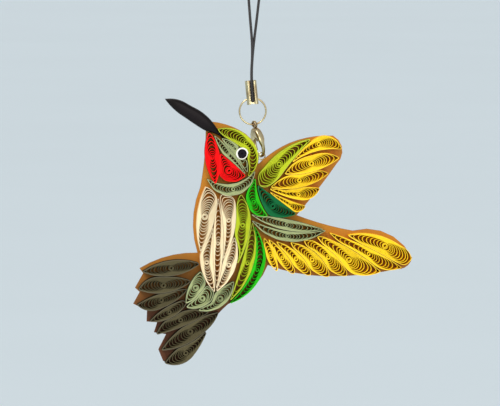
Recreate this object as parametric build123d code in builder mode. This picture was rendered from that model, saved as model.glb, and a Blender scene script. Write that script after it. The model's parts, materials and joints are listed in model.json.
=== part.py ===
"""A quilled paper bird on a loop of cord.

Coils of narrow paper strip stand on edge on a flat card cut to the bird's outline.
A small clasp, a round ring and a folded clamp hang the bird from the cord, and each
is placed from the one above it.
The drawing of the bird is given in squares of a pattern, counted right and down,
and one length turns a square into millimetres.
"""

import math
import os

from build123d import *

# The pattern
square = 0.3  # mm in the real object for one square
loop_column = 253.9  # the cord loop's middle
loop_row = -87.0  # the cord's centre line at the top of the loop
clamp_column, clamp_row = 250.4, 80.5  # the clamp's upper end
hook_column, hook_row = 262.0, 156.6  # the place on the bird that hangs in the clasp's hook

# Paper and card
strip_width = 3.0  # how far the coils stand up from the card
card_thickness = 0.9
eye_radius = 1.86
pupil_radius = 1.32
eye_rise = 0.25  # the eye stands this much prouder than the coils
beak_depth = 2.6
flats_per_arc = 5  # each arc of a paper outline, which keeps within 0.1 mm of the true arc

# How a coil's turns part, as shares of its length and of its width
first_gap = 0.13
gap_pitch = 0.085
gap_width = 0.045
gap_bend = 0.06
gap_reach = 0.55

# Cord and clamp
cord_diameter = 0.8
strand_spacing = 0.9  # between the two strands where one lies before the other
clamp_width = 3.4
clamp_depth = 2.3
clamp_length = 7.1
clamp_sheet = 0.3
clamp_slot = 1.4
clamp_lean = 5.6  # degrees

# Ring, and the lug on the clamp's back that it hangs in
ring_mean_radius = 3.98
ring_wire = 0.55
ring_wire_sides = 8
lug_hole_radius = 0.45
lug_rim = 0.3
lug_thickness = 0.8
lug_clearance = 0.12  # between the swinging ring and the clamp's back
lug_from_end = 1.72  # from the clamp's lower end to the lug's hole
lug_offset = 0.33  # from the middle of the clamp's width

# Clasp, measured down from its eye and aside from its middle
clasp_shift = 0.525  # to the right of the ring's lowest point
clasp_lean = 12.4  # degrees
clasp_turn = 27.0  # degrees from edge on
clasp_reach = 9.8  # from the clasp's eye to the middle of its hook
clasp_half_width = 2.6
clasp_thickness = 2.0
clasp_flats = 28  # round its oval outline
clasp_eye_radius = 1.15
clasp_eye_hole = 0.65
clasp_eye_thickness = 0.8
neck_overlap = 0.15  # of the clasp's body and its eye
hook_wire = 0.8
hook_thickness = 1.0
opening_radius = 1.55
opening_drop = 4.3
gate_gap = 1.9  # from the hook's lowest point up to the end of the lever
slot_drop = 1.3  # the slot that the lever lies in
slot_aside = 0.3

# Lever and its pin
lever_thickness = 0.8
lever_clearance = 0.12  # at each face
lever_tip_clearance = 0.2
lever_inset = 0.15  # from the clasp's outline
lever_drop = 2.0
lever_aside = 0.9  # the lever's inner edge
pivot_drop = 3.0
pivot_aside = 1.35
thumb_length = 1.0  # how far the thumb piece stands out of the clasp
thumb_width = 1.0
thumb_drop = 0.1  # below the pin
pin_radius = 0.25
pin_clearance = 0.03

# Wire eye on the card's back
eye_pin_wire = 0.45
eye_pin_hole = 0.85
eye_pin_shank = 0.4
eye_pin_wire_sides = 8
shank_column, shank_row = 246.5, 172.0  # its glued end

os.makedirs("parts", exist_ok=True)


def across(column):
    """The distance to the right of the cord loop's middle."""
    return (column - loop_column) * square


def up(row):
    """The height over the inside top of the cord loop, which is at zero."""
    return (loop_row - row) * square + cord_diameter / 2


def leaning(degrees):
    """The way down and the way aside of a piece that leans by an angle in the card's plane."""
    lean = math.radians(degrees)
    return Vector(math.sin(lean), 0, -math.cos(lean)), Vector(math.cos(lean), 0, math.sin(lean))


# Depths, with the front at the negative side
clamp_back = clamp_depth / 2
ring_sag = ring_mean_radius - math.sqrt(ring_mean_radius**2 - (clamp_width / 2) ** 2)
ring_depth = clamp_back + ring_sag + ring_wire / 2 + lug_clearance
card_back = ring_depth - eye_pin_wire / 2
card_front = card_back - card_thickness
card_plane = Plane.XZ.offset(-card_front)

# Each piece of the hanging chain starts from the one above it
clamp_down, clamp_aside = leaning(clamp_lean)
clamp_top = Vector(across(clamp_column), 0, up(clamp_row))
ring_top = clamp_top + clamp_down * (clamp_length - lug_from_end) + clamp_aside * lug_offset
ring_top += Vector(0, ring_depth, 0)
ring_middle = ring_top - Vector(0, 0, ring_mean_radius)
clasp_fall = math.sqrt(ring_mean_radius**2 - clasp_shift**2)
clasp_eye = ring_middle + Vector(clasp_shift, 0, -clasp_fall)
clasp_down, clasp_level = leaning(clasp_lean)
clasp_way = math.radians(clasp_turn)
clasp_aside = clasp_level * math.sin(clasp_way) - Vector(0, 1, 0) * math.cos(clasp_way)
clasp_plane = Plane(origin=clasp_eye, x_dir=clasp_aside, z_dir=clasp_aside.cross(clasp_down))
hook_middle = clasp_eye + clasp_down * clasp_reach


def spot(point):
    """A point of the bird's drawing on the card's plane, placed from the hook that holds it."""
    column, row = point
    return (
        hook_middle.X + (column - hook_column) * square,
        hook_middle.Z - (row - hook_row) * square,
    )


def keep(piece, name):
    """Labels a finished piece and writes its file."""
    piece.part.label = name
    export_step(piece.part, f"parts/{name}.step")


def chain(points):
    """Arcs one after another, each through three points of the drawing and laid in a few flats."""
    corners = [Vector(*spot(points[0]))]
    for start in range(0, len(points) - 2, 2):
        three = [spot(point) for point in points[start : start + 3]]
        arc = ThreePointArc(*three, mode=Mode.PRIVATE)
        corners += [arc.position_at(flat / flats_per_arc) for flat in range(1, flats_per_arc + 1)]
    Polyline(*corners)


def between(first_side, second_side, along, aside):
    """A point inside a coil: a share of the way along it, and from -1 to 1 between its sides."""
    first, second = first_side.position_at(along), second_side.position_at(along)
    return second + (first - second) * (1 + aside) / 2


outlines = []


def coil(name, first, second, tip_gaps=3, end_gaps=2, end_radius=0.0):
    """One coil: its two sides run from its tip to its end, and its turns part near both.

    Each gap between two turns is a chevron across the coil, with its arms towards the middle.
    The coil is pressed against the ones that were glued down before it.
    """
    with BuildLine() as first_line:
        chain(first)
    with BuildLine() as second_line:
        chain(second)
    first_side, second_side = first_line.wires()[0], second_line.wires()[0]
    end = Vector(*spot(first[-1]))
    with BuildSketch(card_plane) as whole:
        with BuildLine():
            add(first_line.line)
            add(second_line.line)
        make_face()
        if end_radius:
            fillet(whole.vertices(Select.ALL).sort_by_distance(end)[0], end_radius)
        for earlier in outlines:
            add(earlier, mode=Mode.SUBTRACT)
    outlines.append(whole.sketch_local)
    with BuildPart() as piece:
        with BuildSketch(card_plane):
            add(whole.sketch_local)
            for count, at_end in ((tip_gaps, False), (end_gaps, True)):
                for turn in range(count):
                    near = first_gap + turn * gap_pitch
                    shares = (near, near + gap_bend, near + gap_width, near + gap_bend)
                    if at_end:
                        shares = [1 - share for share in shares]
                    corners = [
                        between(first_side, second_side, share, aside)
                        for share, aside in zip(shares, (0, gap_reach, 0, -gap_reach))
                    ]
                    with BuildLine():
                        Polyline(*corners, close=True)
                    make_face(mode=Mode.SUBTRACT)
        extrude(amount=strip_width)
    keep(piece, name)


# Eye
eye_centre = (241.2, 152.8)

with BuildPart() as eye_ring:
    with BuildSketch(card_plane) as eye_disc:
        with Locations(spot(eye_centre)):
            Circle(eye_radius)
    outlines.append(eye_disc.sketch_local)
    extrude(amount=strip_width + eye_rise)
    with BuildSketch(card_plane):
        with Locations(spot(eye_centre)):
            Circle(pupil_radius)
    extrude(amount=strip_width + eye_rise, mode=Mode.SUBTRACT)
keep(eye_ring, "eye_ring")

with BuildPart() as eye_pupil:
    with BuildSketch(card_plane):
        with Locations(spot(eye_centre)):
            Circle(pupil_radius)
    extrude(amount=strip_width + eye_rise)
keep(eye_pupil, "eye_pupil")

# Beak
with BuildPart() as beak:
    with BuildSketch(card_plane) as beak_outline:
        with BuildLine():
            chain([(164.8, 98.2), (176, 98.3), (190, 105), (208, 116.5), (219, 132)])
            chain([(219, 132), (223, 136), (225, 139.5)])
            chain([(225, 139.5), (216, 133.5), (206, 131)])
            chain([(206, 131), (195, 124), (185, 117), (173.5, 108.5), (164.8, 98.2)])
        make_face()
        add(outlines, mode=Mode.SUBTRACT)
    outlines.append(beak_outline.sketch_local)
    extrude(amount=beak_depth)
keep(beak, "beak")

# Head and throat
coil(
    "throat_left",
    [(208.5, 129.5), (219.5, 156), (214.5, 184.5)],
    [(208.5, 129.5), (203.8, 158), (214.5, 184.5)],
)
coil(
    "throat_right",
    [(219.8, 151.5), (233, 162.5), (245.5, 175)],
    [(219.8, 151.5), (221, 178.5), (245.5, 175)],
)
coil(
    "cheek_lower",
    [(213, 133.5), (230.5, 149.5), (245.5, 174.5)],
    [(213, 133.5), (223, 154.5), (245.5, 174.5)],
)
coil(
    "cheek_upper",
    [(220, 136.5), (240.5, 147.5), (247, 172.5)],
    [(220, 136.5), (229.5, 150.5), (247, 172.5)],
)
coil(
    "crown",
    [(214, 129), (232, 127.3), (250, 138), (258.2, 156), (247, 177)],
    [(214, 129), (226, 137.5), (236, 146), (246.5, 158), (247, 177)],
    3,
    4,
)
coil(
    "collar",
    [(205.5, 177), (228, 183.5), (255, 169.5)],
    [(205.5, 177), (226, 195.5), (255, 169.5)],
)

# Belly
coil(
    "belly_centre",
    [(217.3, 195.5), (223, 240), (215.3, 290)],
    [(217.3, 195.5), (212, 240), (215.3, 290)],
    4,
    3,
)
coil(
    "belly_upper_left",
    [(204.8, 185.5), (214, 191.5), (217.3, 203), (212.5, 224), (199.5, 252)],
    [(204.8, 185.5), (195.5, 218), (199.5, 252)],
    4,
    3,
)
coil(
    "belly_lower_left",
    [(212.5, 218), (213, 250), (214, 292.5)],
    [(212.5, 218), (205, 236), (199, 252), (201.5, 273), (214, 292.5)],
    4,
    3,
)
coil(
    "belly_upper_right",
    [(218.5, 194.5), (231, 194.5), (235, 205), (232.5, 236), (221, 261)],
    [(218.5, 194.5), (221.5, 228), (221, 261)],
    4,
    3,
)
coil(
    "belly_lower_right",
    [(232.5, 231.5), (236.5, 262), (214.7, 292)],
    [(232.5, 231.5), (221.5, 262), (214.7, 292)],
    4,
    3,
)

# Flank and shoulder
coil(
    "flank_upper",
    [(239, 191.5), (246.5, 203), (250, 224), (246, 243), (235.5, 266)],
    [(239, 191.5), (233, 222), (235.5, 266)],
    4,
    3,
)
coil(
    "flank_lower",
    [(251.8, 220.5), (254.5, 258), (228.5, 301.5)],
    [(251.8, 220.5), (240.5, 263), (228.5, 301.5)],
    4,
    3,
)
coil(
    "flank_edge",
    [(253.5, 224.5), (262.5, 243), (265.5, 260), (257, 283), (228, 304)],
    [(253.5, 224.5), (252, 267), (228, 304)],
    3,
    4,
)
coil(
    "shoulder_green",
    [(255, 177), (258.5, 199), (267.5, 216)],
    [(255, 177), (247.5, 187.5), (244.6, 198), (250, 211.5), (267.5, 216)],
)
coil(
    "shoulder_dark",
    [(256.5, 183.5), (277.5, 199), (296.5, 214)],
    [(256.5, 183.5), (260, 200), (268, 215.3), (281, 217.5), (296.5, 214)],
)

# Wing
coil(
    "covert_upper",
    [(248.5, 213), (285, 218.5), (324, 229.8)],
    [(248.5, 213), (285, 230.2), (324, 229.8)],
    4,
    3,
)
coil(
    "covert_lower",
    [(249.5, 219), (285, 230.8), (327, 230.2)],
    [(249.5, 219), (284, 241.5), (327, 230.2)],
    4,
    3,
)
coil(
    "wing_lead",
    [(263.5, 187.8), (256.5, 180), (262, 168.5), (281, 150), (311.5, 138.3)],
    [(263.5, 187.8), (274, 182), (283, 171.5), (297, 154), (311.5, 138.3)],
    3,
    3,
)
coil(
    "wing_feather_1",
    [(290.5, 163), (301, 149), (314, 138.8), (331, 136.2), (341.8, 149.5)],
    [(290.5, 163), (312, 152), (341.8, 149.5)],
)
coil(
    "wing_feather_2",
    [(283.5, 174), (295, 160.8), (312, 154.6), (328, 152.8), (339.8, 158)],
    [(283.5, 174), (315, 171), (339.8, 158)],
)
coil(
    "wing_feather_3",
    [(269.5, 186.8), (284, 176.2), (303, 171.7), (319, 169.6), (328.8, 173.5)],
    [(269.5, 186.8), (303, 187), (328.8, 173.5)],
)
coil(
    "wing_feather_4",
    [(268, 188.3), (295, 186), (319.8, 188)],
    [(268, 188.3), (282, 195.2), (299, 200), (312, 198), (319.8, 188)],
)
coil(
    "wing_feather_5",
    [(268, 190.5), (288, 199.5), (305.5, 206)],
    [(268, 190.5), (276, 199), (288, 208.5), (299, 212), (305.5, 206)],
)
coil(
    "long_feather_1",
    [(263, 236.5), (273.5, 251), (277.5, 274)],
    [(263, 236.5), (265, 256), (277.5, 274)],
    end_radius=0.5,
)
coil(
    "long_feather_2",
    [(267.5, 238), (286, 254.5), (297.5, 278.5)],
    [(267.5, 238), (276.5, 260), (297.5, 278.5)],
    end_radius=0.9,
)
coil(
    "long_feather_3",
    [(275, 240.5), (298, 253), (313.5, 280)],
    [(275, 240.5), (288.5, 261.5), (313.5, 280)],
    end_radius=0.9,
)
coil(
    "long_feather_4",
    [(289.5, 241.5), (314.5, 252), (331.5, 280)],
    [(289.5, 241.5), (303, 264), (331.5, 280)],
    end_radius=0.9,
)
coil(
    "long_feather_5",
    [(301.5, 236.5), (329, 250), (350.5, 279.5)],
    [(301.5, 236.5), (319, 264), (350.5, 279.5)],
    end_radius=0.9,
)
coil(
    "long_feather_6",
    [(314, 233.5), (349.5, 248.5), (382, 273)],
    [(314, 233.5), (333, 257.5), (352, 275), (366, 277), (382, 273)],
    4,
    3,
)
coil(
    "long_feather_7",
    [(328, 232.3), (365, 246.5), (403, 269)],
    [(328, 232.3), (360, 258.5), (382, 270.5), (392, 271.8), (403, 269)],
    4,
    3,
)
coil(
    "long_feather_8",
    [(346.5, 235.5), (378, 235.5), (404, 248.5), (412.5, 259), (405, 267.5)],
    [(346.5, 235.5), (374, 252.3), (405, 267.5)],
    3,
    4,
)

# Vent and tail
coil(
    "vent_1",
    [(199.5, 270.5), (205, 280), (199, 292), (192, 299.5), (184.3, 303)],
    [(199.5, 270.5), (187.5, 285.5), (184.3, 303)],
)
coil(
    "vent_2",
    [(206.5, 283), (213.2, 292.5), (207, 303.5), (196, 308), (184.5, 306.5)],
    [(206.5, 283), (194, 296.5), (184.5, 306.5)],
)
coil(
    "vent_3",
    [(197, 310), (216, 290.5), (233.5, 280.5)],
    [(197, 310), (221.5, 306), (233.5, 280.5)],
)
coil(
    "tail_feather_1",
    [(140.5, 270.5), (170, 258.8), (200.5, 262.5)],
    [(140.5, 270.5), (170, 275.3), (200.5, 262.5)],
)
coil(
    "tail_feather_2",
    [(137, 288.5), (146, 278), (163, 275.7), (177, 275.8), (191, 280.5)],
    [(137, 288.5), (163, 292.3), (191, 280.5)],
)
coil(
    "tail_feather_3",
    [(135.5, 303.5), (158, 292.5), (188, 288)],
    [(135.5, 303.5), (148, 310), (160, 307.5), (175, 300), (188, 288)],
)
coil(
    "tail_feather_4",
    [(147.5, 320.8), (164, 306.5), (188.5, 297.5)],
    [(147.5, 320.8), (168, 318.3), (188.5, 297.5)],
)
coil(
    "tail_feather_5",
    [(155, 334), (164, 319), (183, 310), (196, 308.2), (209, 311.5)],
    [(155, 334), (183, 325.5), (209, 311.5)],
)
coil(
    "tail_feather_6",
    [(159.5, 349.8), (181, 326.5), (218.5, 311.5)],
    [(159.5, 349.8), (178, 347), (200, 334.5), (211, 325), (218.5, 311.5)],
)
coil(
    "tail_feather_7",
    [(163, 362.5), (178, 346), (206.5, 331)],
    [(163, 362.5), (177, 364.8), (190, 358.5), (196.5, 350), (206.5, 331)],
)

# Backing card, cut with scissors close round the bird
with BuildPart() as backing_card:
    with BuildSketch(card_plane):
        with BuildLine():
            chain([(183, 104.5), (198, 113), (211.5, 121.5), (229, 125.3), (246, 134)])
            chain([(246, 134), (256.5, 148), (258.5, 164.5)])
            chain([(258.5, 164.5), (272, 153.5), (290, 143.5), (312, 137.5), (334, 136.5)])
            chain([(334, 136.5), (342.5, 147), (337, 165), (317, 192), (297, 216)])
            chain([(297, 216), (325, 225.5), (354, 232.3)])
            chain([(354, 232.3), (386, 234), (414, 260), (410, 267.5), (398, 271.5)])
            chain([(398, 271.5), (370, 276), (340, 278), (300, 275), (268, 266)])
            chain([(268, 266), (255, 287), (228, 305)])
            chain([(228, 305), (216, 317), (205, 333), (194, 354), (172, 364.7)])
            Polyline(
                *[
                    spot(point)
                    for point in (
                        (172, 364.7),
                        (162.7, 361.5),
                        (158, 350),
                        (166, 334.5),
                        (153.7, 332.5),
                        (157, 322.5),
                        (146.3, 321.5),
                        (146.8, 310.5),
                        (133, 303.5),
                        (139.5, 291.8),
                        (134.8, 287.5),
                        (143, 273),
                        (139.4, 268),
                    )
                ]
            )
            chain([(139.4, 268), (166, 256.5), (197.5, 253)])
            chain([(197.5, 253), (193, 225), (200.5, 187)])
            chain([(200.5, 187), (204.6, 158), (206, 130)])
            chain([(206, 130), (192, 120), (183, 104.5)])
        make_face()
    extrude(amount=-card_thickness)
keep(backing_card, "backing_card")

# Cord: one length, both ends in the clamp and the middle in a loop, with depths in millimetres
half_spacing = strand_spacing / 2
cord_route = [
    (252.9, 101.8, -half_spacing),
    (250.5, 80.2, -half_spacing),
    (252.6, 50.0, -half_spacing),
    (249.9, 18.0, -0.15),
    (247.6, -14.0, 0.0),
    (244.8, -42.0, 0.0),
    (243.2, -66.0, 0.0),
    (243.4, -80.85, 0.0),
    (249.55, -87.0, 0.0),
    (258.25, -87.0, 0.0),
    (264.4, -80.85, 0.0),
    (264.8, -66.0, 0.0),
    (263.2, -42.0, 0.0),
    (260.4, -14.0, 0.0),
    (256.9, 18.0, 0.15),
    (252.9, 50.0, half_spacing),
    (251.1, 80.2, half_spacing),
    (253.5, 101.8, half_spacing),
]
corners = [Vector(across(column), depth, up(row)) for column, row, depth in cord_route]
radii = []
for before, here, after in zip(corners, corners[1:], corners[2:]):
    half_turn = math.radians((here - before).get_angle(after - here) / 2)
    shorter = min((here - before).length, (after - here).length)
    radii.append(0.45 * shorter / math.tan(half_turn))
print("cord radii", [round(radius, 1) for radius in radii])

with BuildPart() as cord_loop:
    with BuildLine() as route:
        FilletPolyline(*corners, radius=radii)
    with BuildSketch(Plane(origin=route.line @ 0, z_dir=route.line % 0)):
        Circle(cord_diameter / 2)
    sweep()
section = math.pi * cord_diameter**2 / 4
cord_length = route.wires()[0].length
print("cord length", round(cord_length, 2))
print("section times length", round(section * cord_length, 2), "volume", round(cord_loop.part.volume, 2))
keep(cord_loop, "cord_loop")

# Clamp: sheet folded round the cord's ends, with a pierced lug behind for the ring
lug_radius = lug_hole_radius + lug_rim
lug_reach = ring_depth - clamp_back
lug_plane = Plane(origin=ring_top, x_dir=(0, 1, 0), z_dir=(1, 0, 0))

with BuildPart() as cord_clamp:
    with BuildSketch(Plane(origin=clamp_top, x_dir=clamp_aside, z_dir=clamp_down)):
        RectangleRounded(clamp_width, clamp_depth, 2 * clamp_sheet)
        offset(amount=-clamp_sheet, mode=Mode.SUBTRACT)
        with Locations((0, clamp_depth / 2)):
            Rectangle(clamp_slot, 3 * clamp_sheet, mode=Mode.SUBTRACT)
    extrude(amount=clamp_length)
    with BuildSketch(lug_plane):
        Circle(lug_radius)
        with Locations((-lug_reach / 2, 0)):
            Rectangle(lug_reach, 2 * lug_radius)
        Circle(lug_hole_radius, mode=Mode.SUBTRACT)
    extrude(amount=lug_thickness / 2, both=True)
keep(cord_clamp, "cord_clamp")

# Ring of round wire
with BuildPart() as jump_ring:
    with BuildSketch(lug_plane):
        RegularPolygon(ring_wire / 2, ring_wire_sides)
    revolve(axis=Axis(ring_middle, (0, 1, 0)))
keep(jump_ring, "jump_ring")

# Clasp: an eye, a body that opens into a hook, and a lever on a pin that closes the hook
body_end = clasp_reach + hook_wire / 2
body_start = clasp_eye_radius - neck_overlap
opening_start = opening_drop + opening_radius
opening_end = body_end - hook_wire - opening_radius
gate_end = body_end - gate_gap
lever_outer = clasp_half_width - lever_inset
pivot = (-pivot_aside, pivot_drop)


def clasp_oval(half_width):
    """The clasp's own outline, or one as much smaller as the half width is, laid in flats."""
    half_length = (body_end - body_start) / 2 - clasp_half_width + half_width
    middle = (body_start + body_end) / 2
    turns = [math.tau * flat / clasp_flats for flat in range(clasp_flats)]
    corners = [(half_width * math.cos(turn), middle + half_length * math.sin(turn)) for turn in turns]
    Polygon(*corners, align=None)


def clasp_opening():
    """The long opening of the hook."""
    with Locations((0, (opening_start + opening_end) / 2)):
        SlotCenterToCenter(
            opening_end - opening_start, 2 * opening_radius, rotation=90, mode=Mode.SUBTRACT
        )


def clasp_block(low, high, mode):
    """A rectangle between two corners."""
    with Locations(((low[0] + high[0]) / 2, (low[1] + high[1]) / 2)):
        Rectangle(high[0] - low[0], high[1] - low[1], mode=mode)


with BuildPart() as clasp_body:
    with BuildSketch(clasp_plane):
        clasp_oval(clasp_half_width)
        clasp_block((-clasp_half_width, body_start), (clasp_half_width, opening_start), Mode.INTERSECT)
        clasp_opening()
    extrude(amount=clasp_thickness / 2, both=True)
    with BuildSketch(clasp_plane):
        clasp_oval(clasp_half_width)
        clasp_opening()
        clasp_block((-clasp_half_width, slot_drop), (-slot_aside, gate_end), Mode.SUBTRACT)
    extrude(amount=hook_thickness / 2, both=True)
    with BuildSketch(clasp_plane):
        clasp_block((-clasp_half_width, slot_drop), (-slot_aside, gate_end), Mode.ADD)
    extrude(amount=lever_thickness / 2 + lever_clearance, both=True, mode=Mode.SUBTRACT)
    with BuildSketch(clasp_plane):
        clasp_block((-clasp_half_width, opening_drop), (-slot_aside, gate_end), Mode.ADD)
    extrude(amount=clasp_thickness, both=True, mode=Mode.SUBTRACT)
    with BuildSketch(clasp_plane):
        Circle(clasp_eye_radius)
    extrude(amount=clasp_eye_thickness / 2, both=True)
    with BuildSketch(clasp_plane):
        Circle(clasp_eye_hole)
        with Locations(pivot):
            Circle(pin_radius)
    extrude(amount=clasp_thickness, both=True, mode=Mode.SUBTRACT)
keep(clasp_body, "clasp_body")

thumb_start = pivot_drop + thumb_drop - thumb_width / 2
with BuildPart() as clasp_lever:
    with BuildSketch(clasp_plane):
        clasp_oval(lever_outer)
        clasp_opening()
        clasp_block(
            (-clasp_half_width, lever_drop), (-lever_aside, gate_end - lever_tip_clearance), Mode.INTERSECT
        )
        clasp_block(
            (-lever_outer - thumb_length, thumb_start), (-pivot_aside, thumb_start + thumb_width), Mode.ADD
        )
        with Locations(pivot):
            Circle(pin_radius + pin_clearance, mode=Mode.SUBTRACT)
    extrude(amount=lever_thickness / 2, both=True)
keep(clasp_lever, "clasp_lever")

with BuildPart() as clasp_pin:
    with BuildSketch(clasp_plane):
        with Locations(pivot):
            Circle(pin_radius)
    extrude(amount=clasp_thickness / 2, both=True)
keep(clasp_pin, "clasp_pin")

# Wire eye on the back of the card, round the middle of the clasp's hook
shank_x, shank_z = spot((shank_column, shank_row))
shank_end = Vector(shank_x, ring_depth, shank_z)
shank_way = (shank_end - hook_middle).normalized()
loop_radius = eye_pin_hole + eye_pin_wire / 2
with BuildPart() as eye_pin:
    with BuildSketch(Plane(origin=hook_middle, x_dir=(0, 1, 0), z_dir=(1, 0, 0))):
        with Locations((0, loop_radius)):
            RegularPolygon(eye_pin_wire / 2, eye_pin_wire_sides)
    revolve(axis=Axis(hook_middle, (0, 1, 0)))
    with BuildSketch(Plane(origin=hook_middle + shank_way * loop_radius, z_dir=shank_way)):
        RegularPolygon(eye_pin_shank / 2, eye_pin_wire_sides)
    extrude(amount=(shank_end - hook_middle).length - loop_radius)
keep(eye_pin, "eye_pin")
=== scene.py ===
"""A quilled paper bird on a loop of cord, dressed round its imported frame.

Every coil is the real spiral of strip, wound inside the outline that the frame gives it.
The beak, the eye and the metal links are surfaces worked out from their sizes.
"""

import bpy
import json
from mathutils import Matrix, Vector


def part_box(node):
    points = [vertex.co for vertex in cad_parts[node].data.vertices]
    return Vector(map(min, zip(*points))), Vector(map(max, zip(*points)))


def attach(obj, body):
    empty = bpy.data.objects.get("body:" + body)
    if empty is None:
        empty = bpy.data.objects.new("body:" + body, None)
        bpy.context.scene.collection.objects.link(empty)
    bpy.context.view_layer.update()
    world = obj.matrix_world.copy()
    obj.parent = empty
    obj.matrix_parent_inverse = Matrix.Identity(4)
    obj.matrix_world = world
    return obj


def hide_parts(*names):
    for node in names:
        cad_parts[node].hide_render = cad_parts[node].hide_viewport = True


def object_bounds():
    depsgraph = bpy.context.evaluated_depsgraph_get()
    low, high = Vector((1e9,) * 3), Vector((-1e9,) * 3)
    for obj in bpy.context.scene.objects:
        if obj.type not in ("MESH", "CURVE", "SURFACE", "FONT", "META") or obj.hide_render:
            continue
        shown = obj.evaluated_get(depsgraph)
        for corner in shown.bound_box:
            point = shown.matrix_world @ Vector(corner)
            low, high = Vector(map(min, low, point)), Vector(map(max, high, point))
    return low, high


bl_info = {
    "name": "Quilled paper bird",
    "version": (1, 0, 0),
    "blender": (4, 5, 0),
    "location": "View3D > Sidebar > Quilled bird",
    "description": "Winds the paper coils and makes the cord, clamp, ring and clasp",
    "category": "Object",
}

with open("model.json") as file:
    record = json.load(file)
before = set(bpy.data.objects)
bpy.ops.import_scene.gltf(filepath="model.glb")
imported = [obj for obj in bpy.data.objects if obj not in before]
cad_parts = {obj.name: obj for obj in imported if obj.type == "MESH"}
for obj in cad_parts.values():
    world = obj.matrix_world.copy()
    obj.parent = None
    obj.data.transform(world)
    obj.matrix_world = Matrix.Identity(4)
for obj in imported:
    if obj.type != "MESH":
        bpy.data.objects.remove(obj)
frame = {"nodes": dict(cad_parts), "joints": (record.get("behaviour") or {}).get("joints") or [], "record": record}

import json
import math

import bpy
import numpy as np
from bpy.props import FloatProperty, FloatVectorProperty, IntProperty, PointerProperty
from mathutils import Vector

CAD_BOX = [list(corner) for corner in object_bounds()]
MM = 0.001


def numbered(name, count):
    """The names of a row of like coils."""
    return tuple(f"{name}_{number}" for number in range(1, count + 1))


# Coils whose outline has no hollow side
ROUND_COILS = ("throat_right",)

# Coils pressed almost shut in the middle, or left more open, and the share of each that stays open
OWN_CHANNELS = {
    "cheek_upper": 0.16,
    "cheek_lower": 0.16,
    "throat_left": 0.16,
    **dict.fromkeys(numbered("vent", 3), 0.5),
}
HEAD = ("crown", "cheek_upper", "cheek_lower", "throat_left", "throat_right", "collar")
BELLY = ("belly_centre", "belly_upper_left", "belly_lower_left", "belly_upper_right", "belly_lower_right")
FLANK = ("flank_upper", "flank_lower", "flank_edge", "shoulder_green", "shoulder_dark")
WING = ("covert_upper", "covert_lower", "wing_lead")
WING += numbered("wing_feather", 5) + numbered("long_feather", 8)
TAIL = numbered("vent", 3) + numbered("tail_feather", 7)

# The first number of each group's random draws
SEEDS = {"head": 100, "belly": 200, "flank": 300, "wing": 400, "tail": 500, "eye": 600}

# A cut in an outline, in even steps: how far its way round may be, how wide it may gape, how much
# way bridging it has to save, how much longer a bridge counts than it is, and how many are sought
OUTLINE_STEP = 0.12 * MM
CUT_WAY, CUT_WIDTH, CUT_SAVING = 9 * MM, 2.5 * MM, 0.35 * MM
CUT_BRIDGE, CUTS = 1.25, 8

# A coil's heart: how far from halfway it may lie, its share of the channel, and the room that the
# turns leave round it
HEART_ASIDE, HEART_SHARE, HEART_ROOM = 0.3, 0.8, 1.3

# The pitches between a coil's turns at its tips: the outermost one's weight, and how uneven they are
PITCH_FIRST, PITCH_UNEVEN = 1.6, 0.3

# A strip where it turns: the least of its width that it keeps, the length of its rounding over that
# width, and how many of the last turns grow into circles
LEAST_KEPT, ROUNDING, LAST_TURNS = 0.3, 1.25, 1.5

# How much of a turn's room the paper takes up, and the radius where the eye's black strip begins
PAPER_FILL = 0.98
PUPIL_HEART = 0.06 * MM

# The beak's arch: its powers aside and up, the least of its height and the part of it in its sides
ARCH_ASIDE, ARCH_UP, ARCH_LEAST, ARCH_SIDE = 0.7, 0.55, 0.45, 0.35

# The clasp in its own millimetres, aside and down from its eye: the hook's long opening, where its
# body thins toward the hook and over what length, and the eye's rim and hole with its half thickness
HOOK_RADIUS, HOOK_TOP, HOOK_FOOT = 1.6, 5.85, 7.85
THIN_FROM, THIN_OVER = 4.6, 2.2
EYE_RIM, EYE_HOLE, EYE_HALF = 1.15, 0.65, 0.4

# Where the clasp's body begins and ends and where the cheeks beside its lever do, in degrees: -90 is
# its top and 90 its foot
BODY_FROM, BODY_TO = -97, 143
CHEEK_FROM, CHEEK_TO = -90, -163

# The lever in the same millimetres: its ends, the oval of its outer side, the round of its inner
# side and how far up and down that is followed, the least that the inner side lies aside in its neck
# and anywhere, and where the neck ends
LEVER_TOP, LEVER_FOOT = 2.1, 8.08
LEVER_HALF_WIDTH, LEVER_MIDDLE, LEVER_HALF_LENGTH = 2.43, 5.6, 4.45
LEVER_ROUND, LEVER_FOLLOWED = 1.58, 1.55
LEVER_NECK, LEVER_LEAST, LEVER_NECK_FOOT = 0.95, 0.93, 5.0

# The lever's thumb piece with its share of the lever's thickness, its pin and the play beside it
THUMB_FROM, THUMB_TO, THUMB_TOP, THUMB_FOOT = -1.5, -3.44, 2.62, 3.58
THUMB_SHARE = 0.97
PIN_ASIDE, PIN_DOWN = -1.35, 3.0
LEVER_PLAY = 0.12

# The clamp's lug, in millimetres, and how much of the way to the clamp it takes up
LUG_RIM, LUG_HOLE, LUG_HALF = 0.75, 0.45, 0.4
LUG_REACH = 0.99

# Where the ring's joint lies, and where the wire eye opens before and behind its shank, in degrees
RING_JOINT_AT = 198
WIRE_BEFORE, WIRE_BEHIND = 14, 6

# How deep inside its solid's corner the wire eye ends
SHANK_INSET = 0.12 * MM

# The cord's braid: the way of one ridge along the cord, and the ridges round it
BRAID_LAY, BRAID_RIDGES = 0.9 * MM, 4

# The lights: name, place, size in metres and power in watts
LIGHTS = (
    ("key", (-0.5, -0.8, 0.75), 0.4, 8.0),
    ("fill", (0.2, -1.3, 0.15), 0.6, 4.5),
    ("back", (0.3, 0.9, 0.7), 0.8, 3.0),
)
LIGHT_AIM = Vector((0, 0, -0.09))
LIGHT_COLOUR = (1.0, 0.94, 0.84)

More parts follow.
